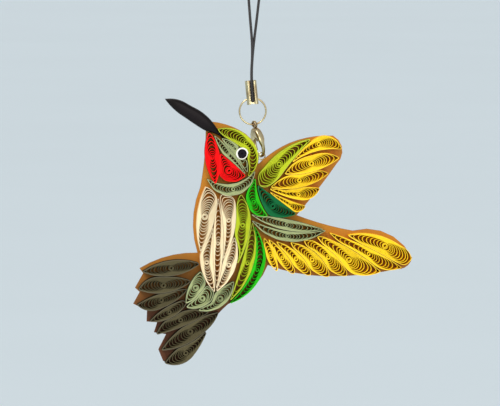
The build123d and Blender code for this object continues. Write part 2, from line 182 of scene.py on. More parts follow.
# The cord's control points: squares of the pattern across and down, and the depth in millimetres
SQUARE = 0.3 * MM
LOOP_COLUMN, LOOP_ROW = 253.9, -87.0
CLAMP_COLUMN, CLAMP_ROW = 250.4, 80.5
CORD_ROUTE = [
    (252.9, 101.8, -0.45),
    (250.5, 80.2, -0.45),
    (252.6, 50.0, -0.45),
    (249.9, 18.0, -0.15),
    (247.6, -14.0, 0.0),
    (244.8, -42.0, 0.0),
    (243.2, -66.0, 0.0),
    (243.4, -80.85, 0.0),
    (249.55, -87.0, 0.0),
    (258.25, -87.0, 0.0),
    (264.4, -80.85, 0.0),
    (264.8, -66.0, 0.0),
    (263.2, -42.0, 0.0),
    (260.4, -14.0, 0.0),
    (256.9, 18.0, 0.15),
    (252.9, 50.0, 0.45),
    (251.1, 80.2, 0.45),
    (253.5, 101.8, 0.45),
]


def length(name, description, default):
    """A length property whose default is given in millimetres."""
    return FloatProperty(
        name=name, description=description, default=default * MM, min=0.0, unit="LENGTH", precision=5
    )


def tilt(name, description, degrees):
    """An angle property whose default is given in degrees."""
    return FloatProperty(name=name, description=description, default=math.radians(degrees), subtype="ANGLE")


def portion(name, description, default, low, high):
    """A property that is a share of something."""
    return FloatProperty(name=name, description=description, default=default, min=low, max=high)


def linear(channel):
    """A screen's value, from 0 to 255, as its share of full light."""
    value = channel / 255
    return value / 12.92 if value <= 0.04045 else ((value + 0.055) / 1.055) ** 2.4


def colour(name, description, *channels):
    """A colour property whose default is given as it looks on a screen, from 0 to 255."""
    default = [linear(channel) for channel in channels]
    return FloatVectorProperty(
        name=name, description=description, default=default, min=0.0, max=1.0, size=3, subtype="COLOR"
    )


class PaperSizes(bpy.types.PropertyGroup):
    """How the strips are wound."""

    thickness: length("Thickness", "Thickness of the paper strip", 0.21)
    tip_pitch: length("Tip pitch", "Distance between turns near a coil's tips", 0.9)
    channel: portion("Channel", "Share of a coil's half width that its turns leave open", 0.34, 0.1, 0.9)
    least_channel: length("Least channel", "Half of the narrowest opening that a coil keeps", 0.3)
    lean: portion("Lean", "How much more a coil may be packed at one side", 0.15, 0.0, 0.4)
    fewest: IntProperty(name="Fewest turns", description="Turns of the shortest coil", default=5, min=2)
    most: IntProperty(name="Most turns", description="Turns of the longest coil", default=11, min=3)
    heart_turns: FloatProperty(
        name="Heart turns", description="Turns of the open spiral in a coil's middle", default=1.6, min=1.0
    )
    heart_radius: length("Heart radius", "Radius where that spiral begins", 0.75)
    heart_end: length("Heart end", "Radius where the strip ends inside", 0.32)
    unevenness: length("Unevenness", "How far the strip's front edge wanders", 0.05)
    step: length("Step", "How far the outermost turn stands proud of the rest", 0.06)
    samples: IntProperty(name="Samples", description="Points along one turn", default=72, min=24)


class PaperColours(bpy.types.PropertyGroup):
    """The papers and the card."""

    card: colour("Card", "Backing card", 182, 118, 12)
    beak_black: colour("Beak", "Black paper of the beak", 14, 9, 11)
    eye_white: colour("Eye white", "White strip round the eye", 246, 245, 238)
    eye_black: colour("Eye black", "Black strip of the eye", 20, 16, 26)
    lime: colour("Lime", "Crown and leading edge of the wing", 184, 200, 8)
    olive: colour("Olive", "Flank", 178, 196, 14)
    sage: colour("Sage", "Cheeks, collar, coverts and vent", 160, 170, 116)
    red: colour("Red", "Throat", 244, 4, 8)
    cream: colour("Cream", "Belly", 238, 222, 182)
    green: colour("Green", "Flank edge and shoulder", 24, 188, 12)
    dark_green: colour("Dark green", "Back of the shoulder", 6, 98, 52)
    yellow: colour("Yellow", "Feathers of the wing", 246, 208, 8)
    brown: colour("Brown", "Feathers of the tail", 82, 74, 44)


class HardwareSizes(bpy.types.PropertyGroup):
    """The metal links."""

    ring_radius: length("Ring radius", "From the ring's middle to the middle of its wire", 3.98)
    ring_wire: length("Ring wire", "Thickness of the ring's wire", 0.54)
    ring_joint: length("Ring joint", "Gap where the ring was bent shut", 0.05)
    clamp_width: length("Clamp width", "Across the folded clamp", 3.4)
    clamp_depth: length("Clamp depth", "From the clamp's front to its back", 2.3)
    clamp_length: length("Clamp length", "Length of the folded clamp", 7.1)
    clamp_slot: length("Clamp slot", "Between the two lips of the clamp", 1.4)
    clamp_fold: length("Clamp fold", "Outer radius of the clamp's folds", 0.75)
    sheet: length("Sheet", "Thickness of the clamp's sheet", 0.3)
    clamp_edge: length("Clamp edge", "How deep the sheet's cut edges are hollowed", 0.09)
    clamp_lean: tilt("Clamp lean", "Lean of the clamp", 5.6)
    clasp_lean: tilt("Clasp lean", "Lean of the clasp", 12.4)
    clasp_turn: tilt("Clasp turn", "Turn of the clasp", 27)
    clasp_half_width: length("Clasp half width", "From the clasp's middle to its side", 2.6)
    clasp_top: length("Clasp top", "From the clasp's eye down to its shoulder", 1.0)
    clasp_end: length("Clasp end", "From the clasp's eye down to the end of its hook", 10.2)
    clasp_thickness: length("Clasp thickness", "Thickness of the clasp's shoulder", 2.0)
    hook_thickness: length("Hook thickness", "Thickness of the clasp's hook", 1.0)
    lever_thickness: length("Lever thickness", "Thickness of the lever", 0.8)
    pin_radius: length("Pin radius", "Radius of the lever's pin", 0.24)
    eye_radius: length("Eye radius", "Radius of the eye on the card's back", 1.075)
    eye_wire: length("Eye wire", "Wire of the eye on the card's back", 0.44)
    shank: length("Shank", "Thickness of the wire between that eye and the card", 0.4)
    metal: colour("Metal", "Nickel plate", 204, 192, 154)
    tarnish: colour("Tarnish", "Where the plate has browned", 112, 74, 36)


class CordSizes(bpy.types.PropertyGroup):
    """The cord."""

    diameter: length("Diameter", "Thickness of the cord", 0.8)
    length: length("Length", "Length of the cord from end to end", 117.3)
    colour: colour("Colour", "Black of the cord", 24, 20, 22)


class StageSettings(bpy.types.PropertyGroup):
    """The floor, the lights and the camera."""

    distance: length("Distance", "From the camera to the bird", 1200)
    view_width: length("View width", "Width that the camera sees at the bird", 150)
    swing: tilt("Swing", "Camera's turn to the left", 5.5)
    rise: tilt("Rise", "Camera's height over level", 5.5)
    aim_aside: FloatProperty(
        name="Aim aside", description="The aim's place aside", default=-1.2 * MM, unit="LENGTH", precision=5
    )
    aim_up: FloatProperty(
        name="Aim up", description="The aim's height", default=-86.6 * MM, unit="LENGTH", precision=5
    )
    drop: length("Drop", "From the bird's feet to the floor", 320)
    reach: length("Reach", "Half the side of the floor", 30000)
    floor: colour("Floor", "Pale floor", 232, 244, 250)
    room: colour("Room", "Light of the room", 228, 230, 231)
    room_strength: FloatProperty(name="Room strength", description="Strength of that light", default=0.95)


def vertices_of(mesh):
    """The places of a mesh's vertices as rows."""
    places = np.empty(len(mesh.vertices) * 3)
    mesh.vertices.foreach_get("co", places)
    return places.reshape(-1, 3)


def front_outline(node):
    """The outline of a node's front face as a closed row of points (x, z).

    Vertices that agree to a thousandth of a millimetre are one. Edges that only one of the front
    triangles has make the face's rims. The outline starts at the point farthest left, and where rims
    touch it takes the edge that turns farthest right.
    """
    places = vertices_of(node.data)
    node.data.calc_loop_triangles()
    corners = np.empty(len(node.data.loop_triangles) * 3, dtype=np.int64)
    node.data.loop_triangles.foreach_get("vertices", corners)
    merged, same = np.unique(np.round(places / MM, 3), axis=0, return_inverse=True)
    triangles = same.reshape(-1)[corners].reshape(-1, 3)
    front = merged[:, 1].min()
    triangles = triangles[(merged[triangles, 1] < front + 0.001).all(axis=1)]
    pairs = np.concatenate([triangles[:, [0, 1]], triangles[:, [1, 2]], triangles[:, [2, 0]]])
    edges = {tuple(pair) for pair in pairs}
    rims = np.array([edge for edge in edges if edge[::-1] not in edges])
    flat = merged[:, [0, 2]] * MM
    here = start = rims[np.argmin(flat[rims[:, 0], 0]), 0]
    way, outline = np.array([0.0, -1.0]), []
    while here != start or not outline:
        outline.append(here)
        nexts = rims[rims[:, 0] == here, 1]
        ways = flat[nexts] - flat[here]
        turns = np.arctan2(way[0] * ways[:, 1] - way[1] * ways[:, 0], ways @ way)
        here, way = nexts[turns.argmin()], ways[turns.argmin()]
    return without_notches(flat[outline])


def evened(outline):
    """A closed outline with its points at even steps."""
    closed = np.concatenate([outline, outline[:1]])
    return spread(closed, int(along(closed)[-1] / OUTLINE_STEP) + 1)[:-1]


def without_notches(outline):
    """A closed outline with the cuts that run in from its edge bridged straight across.

    Of all bridges between two points, the one that saves the most way is taken, as long as the way
    round lies on its left hand side. So the outline's own tips stay.
    """
    points = evened(outline)
    for _ in range(CUTS):
        count = len(points)
        ahead = np.arange(1, min(int(CUT_WAY / OUTLINE_STEP), count // 3))[None]
        number = np.arange(count)[:, None]
        twice = np.concatenate([points, points[: ahead.size + 1]])
        crosses = twice[:-1, 0] * twice[1:, 1] - twice[1:, 0] * twice[:-1, 1]
        swept = np.concatenate([[0.0], np.cumsum(crosses)])
        reach = np.minimum(number + ahead, len(swept) - 1)
        here, there = points[number], points[(number + ahead) % count]
        area = swept[reach] - swept[number] + there[..., 0] * here[..., 1] - here[..., 0] * there[..., 1]
        chord = np.linalg.norm(there - here, axis=2)
        fits = (area < 0) & (chord < CUT_WIDTH)
        saved = np.where(fits, ahead * OUTLINE_STEP - CUT_BRIDGE * chord, 0)
        first, run = np.unravel_index(np.argmax(saved), saved.shape)
        if saved[first, run] < CUT_SAVING:
            break
        inner = (first + np.arange(1, run + 1)) % count
        points = evened(np.delete(points, inner, axis=0))
    return points


def hull(outline):
    """The convex outline round a closed row of points: the farthest point in each direction."""
    turn = np.linspace(0, 2 * math.pi, 1441)[:-1]
    farthest = (outline @ on_circle(turn).T).argmax(axis=0)
    return outline[farthest[farthest != np.roll(farthest, 1)]]


def at(places, far, values):
    """Points read off a line at some places along it."""
    return np.stack([np.interp(places, far, values[:, axis]) for axis in (0, 1)], axis=1)


def along(points):
    """How far each point of an open line lies from its first point."""
    steps = np.linalg.norm(np.diff(points, axis=0), axis=1)
    return np.concatenate([[0.0], np.cumsum(steps)])


def spread(points, count):
    """The same open line with its points at even steps."""
    far = along(points)
    return at(np.linspace(0, far[-1], count), far, points)


def two_sides(outline, count=240):
    """An outline's two sides, both from one tip to the other, where the tips are the farthest pair."""
    gaps = np.linalg.norm(outline[:, None] - outline[None], axis=2)
    first, second = sorted(np.unravel_index(np.argmax(gaps), gaps.shape))
    one = outline[first : second + 1]
    other = np.concatenate([outline[second:], outline[: first + 1]])[::-1]
    return smoothed(spread(one, count), count // 10), smoothed(spread(other, count), count // 10)


def smoothed(points, reach):
    """An open line with its corners softened: each point is the mean of those near it.

    Past its ends the line goes on turned about the end point, so that the ends stay where they are.
    """
    before = 2 * points[0] - points[reach:0:-1]
    after = 2 * points[-1] - points[-2 : -2 - reach : -1]
    longer = np.concatenate([before, points, after])
    weights = np.hanning(2 * reach + 3)[1:-1]
    weights /= weights.sum()
    return np.stack([np.convolve(longer[:, axis], weights, "valid") for axis in (0, 1)], axis=1)


def directions(line):
    """The unit way along a line at each of its points."""
    steps = np.gradient(line, axis=0)
    return steps / np.maximum(np.linalg.norm(steps, axis=1, keepdims=True), 1e-12)


def left_of(ways):
    """Ways in a plane, each turned a quarter to the left."""
    return np.stack([-ways[:, 1], ways[:, 0]], axis=1)


def on_circle(turn):
    """The points of a unit circle at some angles."""
    return np.stack([np.cos(turn), np.sin(turn)], axis=1)


def powered(values, power):
    """Values from -1 to 1, each to a power with its sign kept."""
    return np.sign(values) * np.abs(values) ** power


def eased(share):
    """A share with a soft start and stop: three times its square less twice its cube."""
    return share * share * (3 - 2 * share)


def shell(points, closed):
    """The faces and the UV map of one closed shell on a grid of points.

    Rows follow the piece and columns go round it. A shell that isn't closed in a ring gets a flat
    face over each end. The faces are turned over if the volume inside them comes out negative.
    """
    rows, columns = points.shape[:2]
    row, column = np.meshgrid(np.arange(rows if closed else rows - 1), np.arange(columns), indexing="ij")
    next_row, next_column = (row + 1) % rows, (column + 1) % columns
    corners = [(row, column), (row, next_column), (next_row, next_column), (next_row, column)]
    quads = np.stack([first * columns + second for first, second in corners], axis=-1).reshape(-1, 4)
    centre = points.mean(axis=1)
    far = along(np.concatenate([centre, centre[:1]]))
    middle = points[rows // 2]
    wide = along(np.concatenate([middle, middle[:1]]))
    across = [far[row], far[row], far[row + 1], far[row + 1]]
    around = [wide[column], wide[column + 1], wide[column + 1], wide[column]]
    places = np.stack([np.stack(across, axis=-1), np.stack(around, axis=-1)], axis=-1).reshape(-1, 2)
    faces = quads.tolist()
    if not closed:
        faces.append(list(range(columns))[::-1])
        faces.append([(rows - 1) * columns + number for number in range(columns)])
        ends = [np.stack([np.full(columns, far[end]), wide[:-1]], axis=-1) for end in (0, rows - 1)]
        places = np.concatenate([places, ends[0][::-1], ends[1]])
    flat = points.reshape(-1, 3) - points.reshape(-1, 3).mean(axis=0)
    one, two, three, four = (flat[quads[:, number]] for number in range(4))
    volume = np.sum(one * np.cross(two, three)) + np.sum(one * np.cross(three, four))
    if not closed:
        for ring, sign in ((flat[:columns], -1), (flat[-columns:], 1)):
            fan = np.cross(ring, np.roll(ring, -1, axis=0)).sum(axis=0)
            volume += sign * np.dot(ring.mean(axis=0), fan)
    if volume < 0:
        faces = [face[::-1] for face in faces]
        counts = np.array([len(face) for face in faces])
        last = np.repeat(np.cumsum(counts) - 1, counts)
        first = np.repeat(np.cumsum(counts) - counts, counts)
        places = places[last - (np.arange(counts.sum()) - first)]
    return faces, places


def grid_object(name, *grids, smooth=math.radians(40)):
    """One object of one or several closed shells, with a UV map in metres along and round each.

    A grid whose last row is its first again is closed in a ring, without that row.
    """
    mesh = bpy.data.meshes.new(name)
    rings = [np.allclose(grid[0], grid[-1], atol=1e-9) for grid in grids]
    grids = [grid[:-1] if ring else grid for grid, ring in zip(grids, rings)]
    faces, places, count = [], [], 0
    for grid, ring in zip(grids, rings):
        own_faces, own_places = shell(grid, ring)
        faces += [[corner + count for corner in face] for face in own_faces]
        places.append(own_places)
        count += grid.shape[0] * grid.shape[1]
    mesh.from_pydata(np.concatenate([grid.reshape(-1, 3) for grid in grids]).tolist(), [], faces)
    mesh.uv_layers.new(name="strip").data.foreach_set("uv", np.concatenate(places).reshape(-1))
    mesh.polygons.foreach_set("use_smooth", [True] * len(mesh.polygons))
    mesh.set_sharp_from_angle(angle=smooth)
    mesh.update()
    piece = bpy.data.objects.new(name, mesh)
    bpy.context.scene.collection.objects.link(piece)
    return piece


def strip_on_edge(name, line, half, front, back, turn):
    """A strip of paper stood on edge along a line in the card's plane.

    Its section is a rectangle: half its thickness to each side of the line along the line's normal,
    from its front edge to the card. Each point keeps the number of its turn for the material.
    """
    normal = left_of(directions(line))
    grid = np.empty((len(line), 4, 3))
    for column, (side, depth) in enumerate(((1, front), (-1, front), (-1, back), (1, back))):
        across = line + normal * (side * half)
        grid[:, column, 0], grid[:, column, 2] = across[:, 0], across[:, 1]
        grid[:, column, 1] = depth
    piece = grid_object(name, grid, smooth=math.radians(50))
    turns = piece.data.attributes.new("turn", "FLOAT", "POINT")
    turns.data.foreach_set("value", np.repeat(turn, 4))
    return piece


def wander(generator, count, waves):
    """A smooth line that wanders between about -1 and 1: the mean of sines with random phases."""
    turn = np.linspace(0, 2 * math.pi, count)
    phases = generator.uniform(0, 2 * math.pi, len(waves))
    return np.mean([np.sin(wave * turn + phase) for wave, phase in zip(waves, phases)], axis=0)


def heart_of(outline, middle, half_width, far):
    """Where a coil's heart lies on its middle line: nearest the centre of its area.

    A coil that is narrow there has its heart at the widest place of its middle part instead.
    """
    after = np.roll(outline, -1, axis=0)
    cross = outline[:, 0] * after[:, 1] - after[:, 0] * outline[:, 1]
    centre = ((outline + after) * cross[:, None]).sum(axis=0) / (3 * cross.sum())
    heart = int(np.argmin(np.linalg.norm(middle - centre, axis=1)))
    inner = np.where(np.abs(far / far[-1] - 0.5) < HEART_ASIDE, half_width, 0)
    if half_width[heart] < inner.max() / 2:
        heart = int(np.argmax(inner))
    return heart


def drawn_back(leaf_turn, turns, reach, first, generator):
    """How far each point of a strip is drawn back from one tip of its coil.

    Each turn adds an uneven pitch, and the pitches shrink inwards. They are scaled so that all of
    them fill the reach. The turn called first still goes to the very tip.
    """
    pitches = generator.uniform(1 - PITCH_UNEVEN, 1 + PITCH_UNEVEN, turns)
    pitches *= PITCH_FIRST - np.arange(turns) / turns
    drawn = np.concatenate([[0.0], np.cumsum(pitches)])
    drawn *= reach / np.interp(turns - first, np.arange(turns + 1), drawn)
    return np.interp(leaf_turn - first, np.arange(turns + 1), drawn)


def coil_line(outline, sizes, share_open, generator):
    """The line of a pinched coil, wound from its outline inwards, and half the strip's thickness.

    A coil is told by the middle line between its two sides and by its half width there. Turn k keeps
    k thicknesses of paper inside both sides, a little more inside one than the other, draws back from
    each tip by k uneven pitches, and is rounded where it turns: its width there follows a quarter
    ellipse. The last turns grow into circles round the coil's middle, and end in a small open spiral.
    """
    one, other = two_sides(outline)
    middle, across = (one + other) / 2, (one - other) / 2
    half_width = np.linalg.norm(across, axis=1)
    halfway = len(across) // 2
    side_way = across[halfway] / half_width[halfway]
    far = along(middle)
    heart = heart_of(outline, middle, half_width, far)
    widest = half_width[heart]
    turns = int(np.clip(round((far[-1] / 2) / sizes.tip_pitch), sizes.fewest, sizes.most))
    channel = max(sizes.least_channel, share_open * widest)
    packing = (widest - channel) / turns
    lean = generator.uniform(-sizes.lean, sizes.lean)
    half = min(sizes.thickness, packing * (1 - abs(lean)) * PAPER_FILL) / 2
    heart_radius = min(sizes.heart_radius, channel * HEART_SHARE)

    total = turns + sizes.heart_turns
    turn = np.linspace(0, total, int(total * sizes.samples))
    phase = 2 * math.pi * turn

    # The turns wound to the outline: those after them belong to the heart
    leaf_turn = np.minimum(turn, turns)

    # From tip to tip and back in each turn, where the coil is wide enough for the strip
    kept_free = heart_radius * HEART_ROOM
    wide_enough = far[half_width > half * 3]
    start = wide_enough[0] + drawn_back(leaf_turn, turns, far[heart] - kept_free, 1.0, generator)
    stop = wide_enough[-1] - drawn_back(leaf_turn, turns, far[-1] - far[heart] - kept_free, 0.5, generator)
    place = start + (1 - np.cos(phase)) / 2 * (stop - start)

    # To one side on the way there and to the other on the way back; the strip starts at a sharp tip,
    # and its rounding grows over the first two thirds of a turn
    width = np.interp(place, far, half_width)
    side = np.sign(np.sin(phase))
    inside = half + leaf_turn * packing * (1 + lean * side)
    kept = np.maximum(width - inside, LEAST_KEPT * width * (1 - leaf_turn / (turns + 1)))
    grown = np.clip(leaf_turn * 1.5, 0, 1)
    rounding = np.maximum(kept * ROUNDING * grown, 3 * half)
    from_tip = np.minimum(place - start, stop - place)
    bend = np.sqrt(np.clip(1 - (1 - np.clip(from_tip / rounding, 0, 1)) ** 2, 0, 1))
    lateral = kept * bend * side
    ways = across / np.maximum(half_width, 1e-9)[:, None]
    ways[0], ways[-1] = ways[1], ways[-2]
    leaf = at(place, far, middle) + at(place, far, ways) * lateral[:, None]

    # The open spiral in the middle
    spin = np.clip(turn - turns, 0, None) / sizes.heart_turns
    radius = heart_radius + (sizes.heart_end - heart_radius) * spin
    axis_way = np.array([side_way[1], -side_way[0]])
    if np.dot(axis_way, middle[-1] - middle[0]) < 0:
        axis_way = -axis_way
    side_here = ways[heart]
    heart_point = middle[heart] - side_here * turns * packing * lean
    circle = heart_point - np.outer(np.cos(phase) * radius, axis_way)
    circle += np.outer(np.sin(phase) * radius, side_here)
    rounder = eased(np.clip((turn - (turns - LAST_TURNS)) / LAST_TURNS, 0, 1))[:, None]
    return leaf * (1 - rounder) + circle * rounder, turn, half


def round_line(centre, outer, inner, pitch, samples):
    """A plain round spiral: the radius falls by one pitch a turn."""
    turns = (outer - inner) / pitch
    turn = np.linspace(0, turns, int(turns * samples))
    return centre + (outer - pitch * turn)[:, None] * on_circle(2 * math.pi * turn)


def tube(centre, radius, sides, up=(0.0, 1.0, 0.0)):
    """The grid of a round tube along a line: a circle square to the line at each of its points."""
    tangent = directions(centre)
    across = np.cross(tangent, up)
    across /= np.linalg.norm(across, axis=1, keepdims=True)
    over = np.cross(across, tangent)
    radius = np.broadcast_to(radius, len(centre))[:, None, None]
    turn = np.linspace(0, 2 * math.pi, sides, endpoint=False)[:, None]
    circle = across[:, None] * np.cos(turn) + over[:, None] * np.sin(turn)
    return centre[:, None] + circle * radius


def domed(count, start, stop):
    """Shares from 0.1 to 1 that round off the ends of a tube or band: a quarter circle at each end.

    The start and the stop are the shares of the whole length that the two quarter circles take.
    """
    place = np.linspace(0, 1, count)
    nearest = np.minimum(place / start, (1 - place) / stop)
    return np.sqrt(np.clip(1 - (1 - np.clip(nearest, 0, 1)) ** 2, 0.01, 1))


def band(outer, inner, half, axes, power, swell=1.0, raised=0.0, sides=24):
    """The grid of a band between two lines of a plane.

    Its section is a rounded rectangle, a superellipse: half as wide as the lines are apart and half
    as thick as given, about a plane raised over the first. Lines are (aside, down) in millimetres,
    and axes are the plane's origin, its two directions and its normal.
    """
    origin, aside, down, normal = axes
    turn = np.linspace(0, 2 * math.pi, sides, endpoint=False)
    wide, thick = powered(np.cos(turn), 2 / power), powered(np.sin(turn), 2 / power)
    swell = np.broadcast_to(swell, len(outer))[:, None]
    half = np.broadcast_to(half, len(outer))[:, None]
    middle, reach = (outer + inner) / 2, (outer - inner) / 2
    flat = middle[:, None] + reach[:, None] * (wide * swell)[..., None]
    height = raised + half * thick * swell
    parts = [flat[..., :1] * aside, flat[..., 1:] * down, height[..., None] * normal]
    return origin + sum(parts) * MM


# Materials: noise scales are in waves a metre, and all distances in metres


def link(tree, first, second):
    """Joins an output to an input."""
    tree.links.new(first, second)


def maths(tree, operation, *values):
    """One step of arithmetic on numbers or outputs."""
    node = tree.nodes.new("ShaderNodeMath")
    node.operation = operation
    for number, value in enumerate(values):
        if isinstance(value, (int, float)):
            node.inputs[number].default_value = value
        else:
            link(tree, value, node.inputs[number])
    return node.outputs[0]


def times(tree, first, second):
    """Two numbers or outputs multiplied."""
    return maths(tree, "MULTIPLY", first, second)


def noise(tree, place, scale, detail):
    """Noise read at a place."""
    node = tree.nodes.new("ShaderNodeTexNoise")
    node.inputs["Scale"].default_value = scale
    node.inputs["Detail"].default_value = detail
    link(tree, place, node.inputs["Vector"])
    return node.outputs["Fac"]


def stretched(tree, place, scale):
    """A place with each of its axes scaled."""
    node = tree.nodes.new("ShaderNodeMapping")
    node.inputs["Scale"].default_value = scale
    link(tree, place, node.inputs["Vector"])
    return node.outputs["Vector"]


def ranged(tree, value, low, high, to_low=0.0, to_high=1.0):
    """A value's range carried to another range, and held at its ends."""
    node = tree.nodes.new("ShaderNodeMapRange")
    for name, number in (("From Min", low), ("From Max", high), ("To Min", to_low), ("To Max", to_high)):
        node.inputs[name].default_value = number
    link(tree, value, node.inputs["Value"])
    return node.outputs["Result"]


def mixed(tree, share, first, second):
    """Two colours mixed by a share."""
    node = tree.nodes.new("ShaderNodeMix")
    node.data_type = "RGBA"
    link(tree, share, node.inputs["Factor"])
    targets = [entry for entry in node.inputs if entry.type == "RGBA"]
    for target, value in zip(targets, (first, second)):
        if isinstance(value, tuple):
            target.default_value = (*value, 1.0)
        else:
            link(tree, value, target)
    return next(entry for entry in node.outputs if entry.type == "RGBA")


def split(tree, place):
    """The three axes of a place, by their letters."""
    node = tree.nodes.new("ShaderNodeSeparateXYZ")
    link(tree, place, node.inputs[0])
    return node.outputs


def new_group(name, colours, numbers):
    """A shader node group that takes grey colours and numbers, and gives a colour and its surface."""
    group = bpy.data.node_groups.new(name, "ShaderNodeTree")
    for title, grey in colours.items():
        made = group.interface.new_socket(name=title, in_out="INPUT", socket_type="NodeSocketColor")
        made.default_value = (grey, grey, grey, 1.0)
    for title, number in numbers.items():
        made = group.interface.new_socket(name=title, in_out="INPUT", socket_type="NodeSocketFloat")
        made.default_value = number
    for title, kind in (("Colour", "Color"), ("Roughness", "Float"), ("Height", "Float")):
        group.interface.new_socket(name=title, in_out="OUTPUT", socket_type=f"NodeSocket{kind}")
    inside, outside = group.nodes.new("NodeGroupInput"), group.nodes.new("NodeGroupOutput")
    return group, inside.outputs, outside.inputs


def paper_group():
    """Dyed paper on edge: speckled fibres, a paler cut edge at the front, and painted shade that darkens the
    strip's sides with depth behind the front edge.
    """
    group, given, result = new_group(
        "Dyed paper",
        {"Dye": 0.5, "Deep dye": 0.2, "Cut edge": 0.9},
        {"Edge share": 0.3, "Front depth": 0.0, "Speckle": 0.3},
    )
    coordinates = group.nodes.new("ShaderNodeTexCoord")
    strip, place = coordinates.outputs["UV"], coordinates.outputs["Object"]
    fibres = noise(group, stretched(group, strip, (2500, 9000, 1)), 1.0, 4)
    blotches = noise(group, place, 420, 2)
    depth = maths(group, "SUBTRACT", split(group, place)["Y"], given["Front depth"])
    turn = group.nodes.new("ShaderNodeAttribute")
    turn.attribute_name = "turn"
    outer = ranged(group, turn.outputs["Fac"], 1.0, 1.3, 1.0, 0.3)
    edge = times(group, ranged(group, depth, 0.1 * MM, 0.25 * MM, 1.0, 0.0), outer)
    # Painted shade: the strip's sides darken with depth behind its front edge, down into the gaps between turns
    deep = ranged(group, depth, 0.15 * MM, 1.2 * MM, 0.0, 0.95)
    speckle = times(group, ranged(group, fibres, 0.35, 0.75), given["Speckle"])
    patch = times(group, ranged(group, blotches, 0.3, 0.8), 0.35)
    # The paper's own speckle and blotches, together with that painted shade, pull the dye toward the painted shade
    # colour
    speckle_and_painted_shade = maths(group, "MAXIMUM", maths(group, "MAXIMUM", speckle, patch), deep)
    body = mixed(group, speckle_and_painted_shade, given["Dye"], given["Deep dye"])
    paleness = times(group, edge, given["Edge share"])
    paleness = times(group, paleness, ranged(group, fibres, 0.3, 0.7, 0.55, 1.0))
    link(group, mixed(group, paleness, body, given["Cut edge"]), result["Colour"])
    link(group, ranged(group, fibres, 0.2, 0.8, 0.62, 0.9), result["Roughness"])
    link(group, fibres, result["Height"])
    return group


def wear_group():
    """Plated metal: broad tarnish, fine scratches and a roughness that follows both."""
    group, given, result = new_group(
        "Plate and tarnish", {"Plate": 0.8, "Tarnish": 0.2}, {"Tarnish share": 0.4}
    )
    place = group.nodes.new("ShaderNodeTexCoord").outputs["Object"]
    broad = noise(group, place, 240, 3)
    fine = noise(group, stretched(group, place, (1500, 1500, 7000)), 1.0, 4)
    mask = times(group, ranged(group, broad, 0.42, 0.7), given["Tarnish share"])
    link(group, mixed(group, mask, given["Plate"], given["Tarnish"]), result["Colour"])
    scratches = ranged(group, fine, 0.3, 0.7, 0.12, 0.24)
    rough = maths(group, "ADD", scratches, times(group, mask, 0.2))
    link(group, rough, result["Roughness"])
    link(group, fine, result["Height"])
    return group


def new_material(name):
    """A material with its shader and output, and nothing else."""
    material = bpy.data.materials.new(name)
    material.use_nodes = True
    shader = material.node_tree.nodes["Principled BSDF"]
    return material, material.node_tree, shader


def surfaced(tree, shader, colour, roughness, height, strength, distance):
    """Carries a colour, a roughness and a height to the shader."""
    link(tree, colour, shader.inputs["Base Color"])
    link(tree, roughness, shader.inputs["Roughness"])
    node = tree.nodes.new("ShaderNodeBump")
    node.inputs["Strength"].default_value = strength
    node.inputs["Distance"].default_value = distance
    link(tree, height, node.inputs["Height"])
    link(tree, node.outputs["Normal"], shader.inputs["Normal"])


def placed_group(tree, group, **values):
    """A node group in a material with its own values, and its colour, roughness and height."""
    node = tree.nodes.new("ShaderNodeGroup")
    node.node_tree = group
    for name, value in values.items():
        target = node.inputs[name.replace("_", " ").capitalize()]
        target.default_value = (*value, 1.0) if isinstance(value, tuple) else value
    return [node.outputs[name] for name in ("Colour", "Roughness", "Height")]


def shaded(dye, share, warm=1.0):
    """A dye made darker, and warmer or cooler."""
    return (dye[0] * share * warm, dye[1] * share, dye[2] * share / warm)


def paper_material(name, dye, front, deep=0.35, edge_share=0.25, speckle=0.25, warm=1.15, edge=None):
    """One colour of quilling paper."""
    group = bpy.data.node_groups.get("Dyed paper") or paper_group()
    material, tree, shader = new_material(name)
    paper = placed_group(
        tree,
        group,
        dye=dye,
        # The painted shade colour for the strip's sides deep in the gaps: the dye darkened by deep and made warmer
        # or cooler by warm
        deep_dye=shaded(dye, deep, warm),
        cut_edge=edge or tuple(0.25 + 0.75 * channel for channel in dye),
        edge_share=edge_share,
        front_depth=front,
        speckle=speckle,
    )
    surfaced(tree, shader, *paper, strength=0.25, distance=0.03 * MM)
    shader.inputs["Specular IOR Level"].default_value = 0.12
    return material


def metal_material(name, plate, tarnish, share):
    """Nickel plate with some tarnish."""
    group = bpy.data.node_groups.get("Plate and tarnish") or wear_group()
    material, tree, shader = new_material(name)
    wear = placed_group(tree, group, plate=plate, tarnish=tarnish, tarnish_share=share)
    surfaced(tree, shader, *wear, strength=0.15, distance=0.01 * MM)
    shader.inputs["Metallic"].default_value = 1.0
    return material


def dress(piece, body, slot, material, *nodes):
    """Gives a finished piece its material and its body, and hides the nodes that it stands for; the slot is not
    used.
    """
    piece.data.materials.clear()
    piece.data.materials.append(material)
    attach(piece, body)
    if nodes:
        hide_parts(*nodes)


def slot_of(node):
    """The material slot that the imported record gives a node."""
    return next(part["material_slot"] for part in frame["record"]["subparts"] if part["node"] == node)


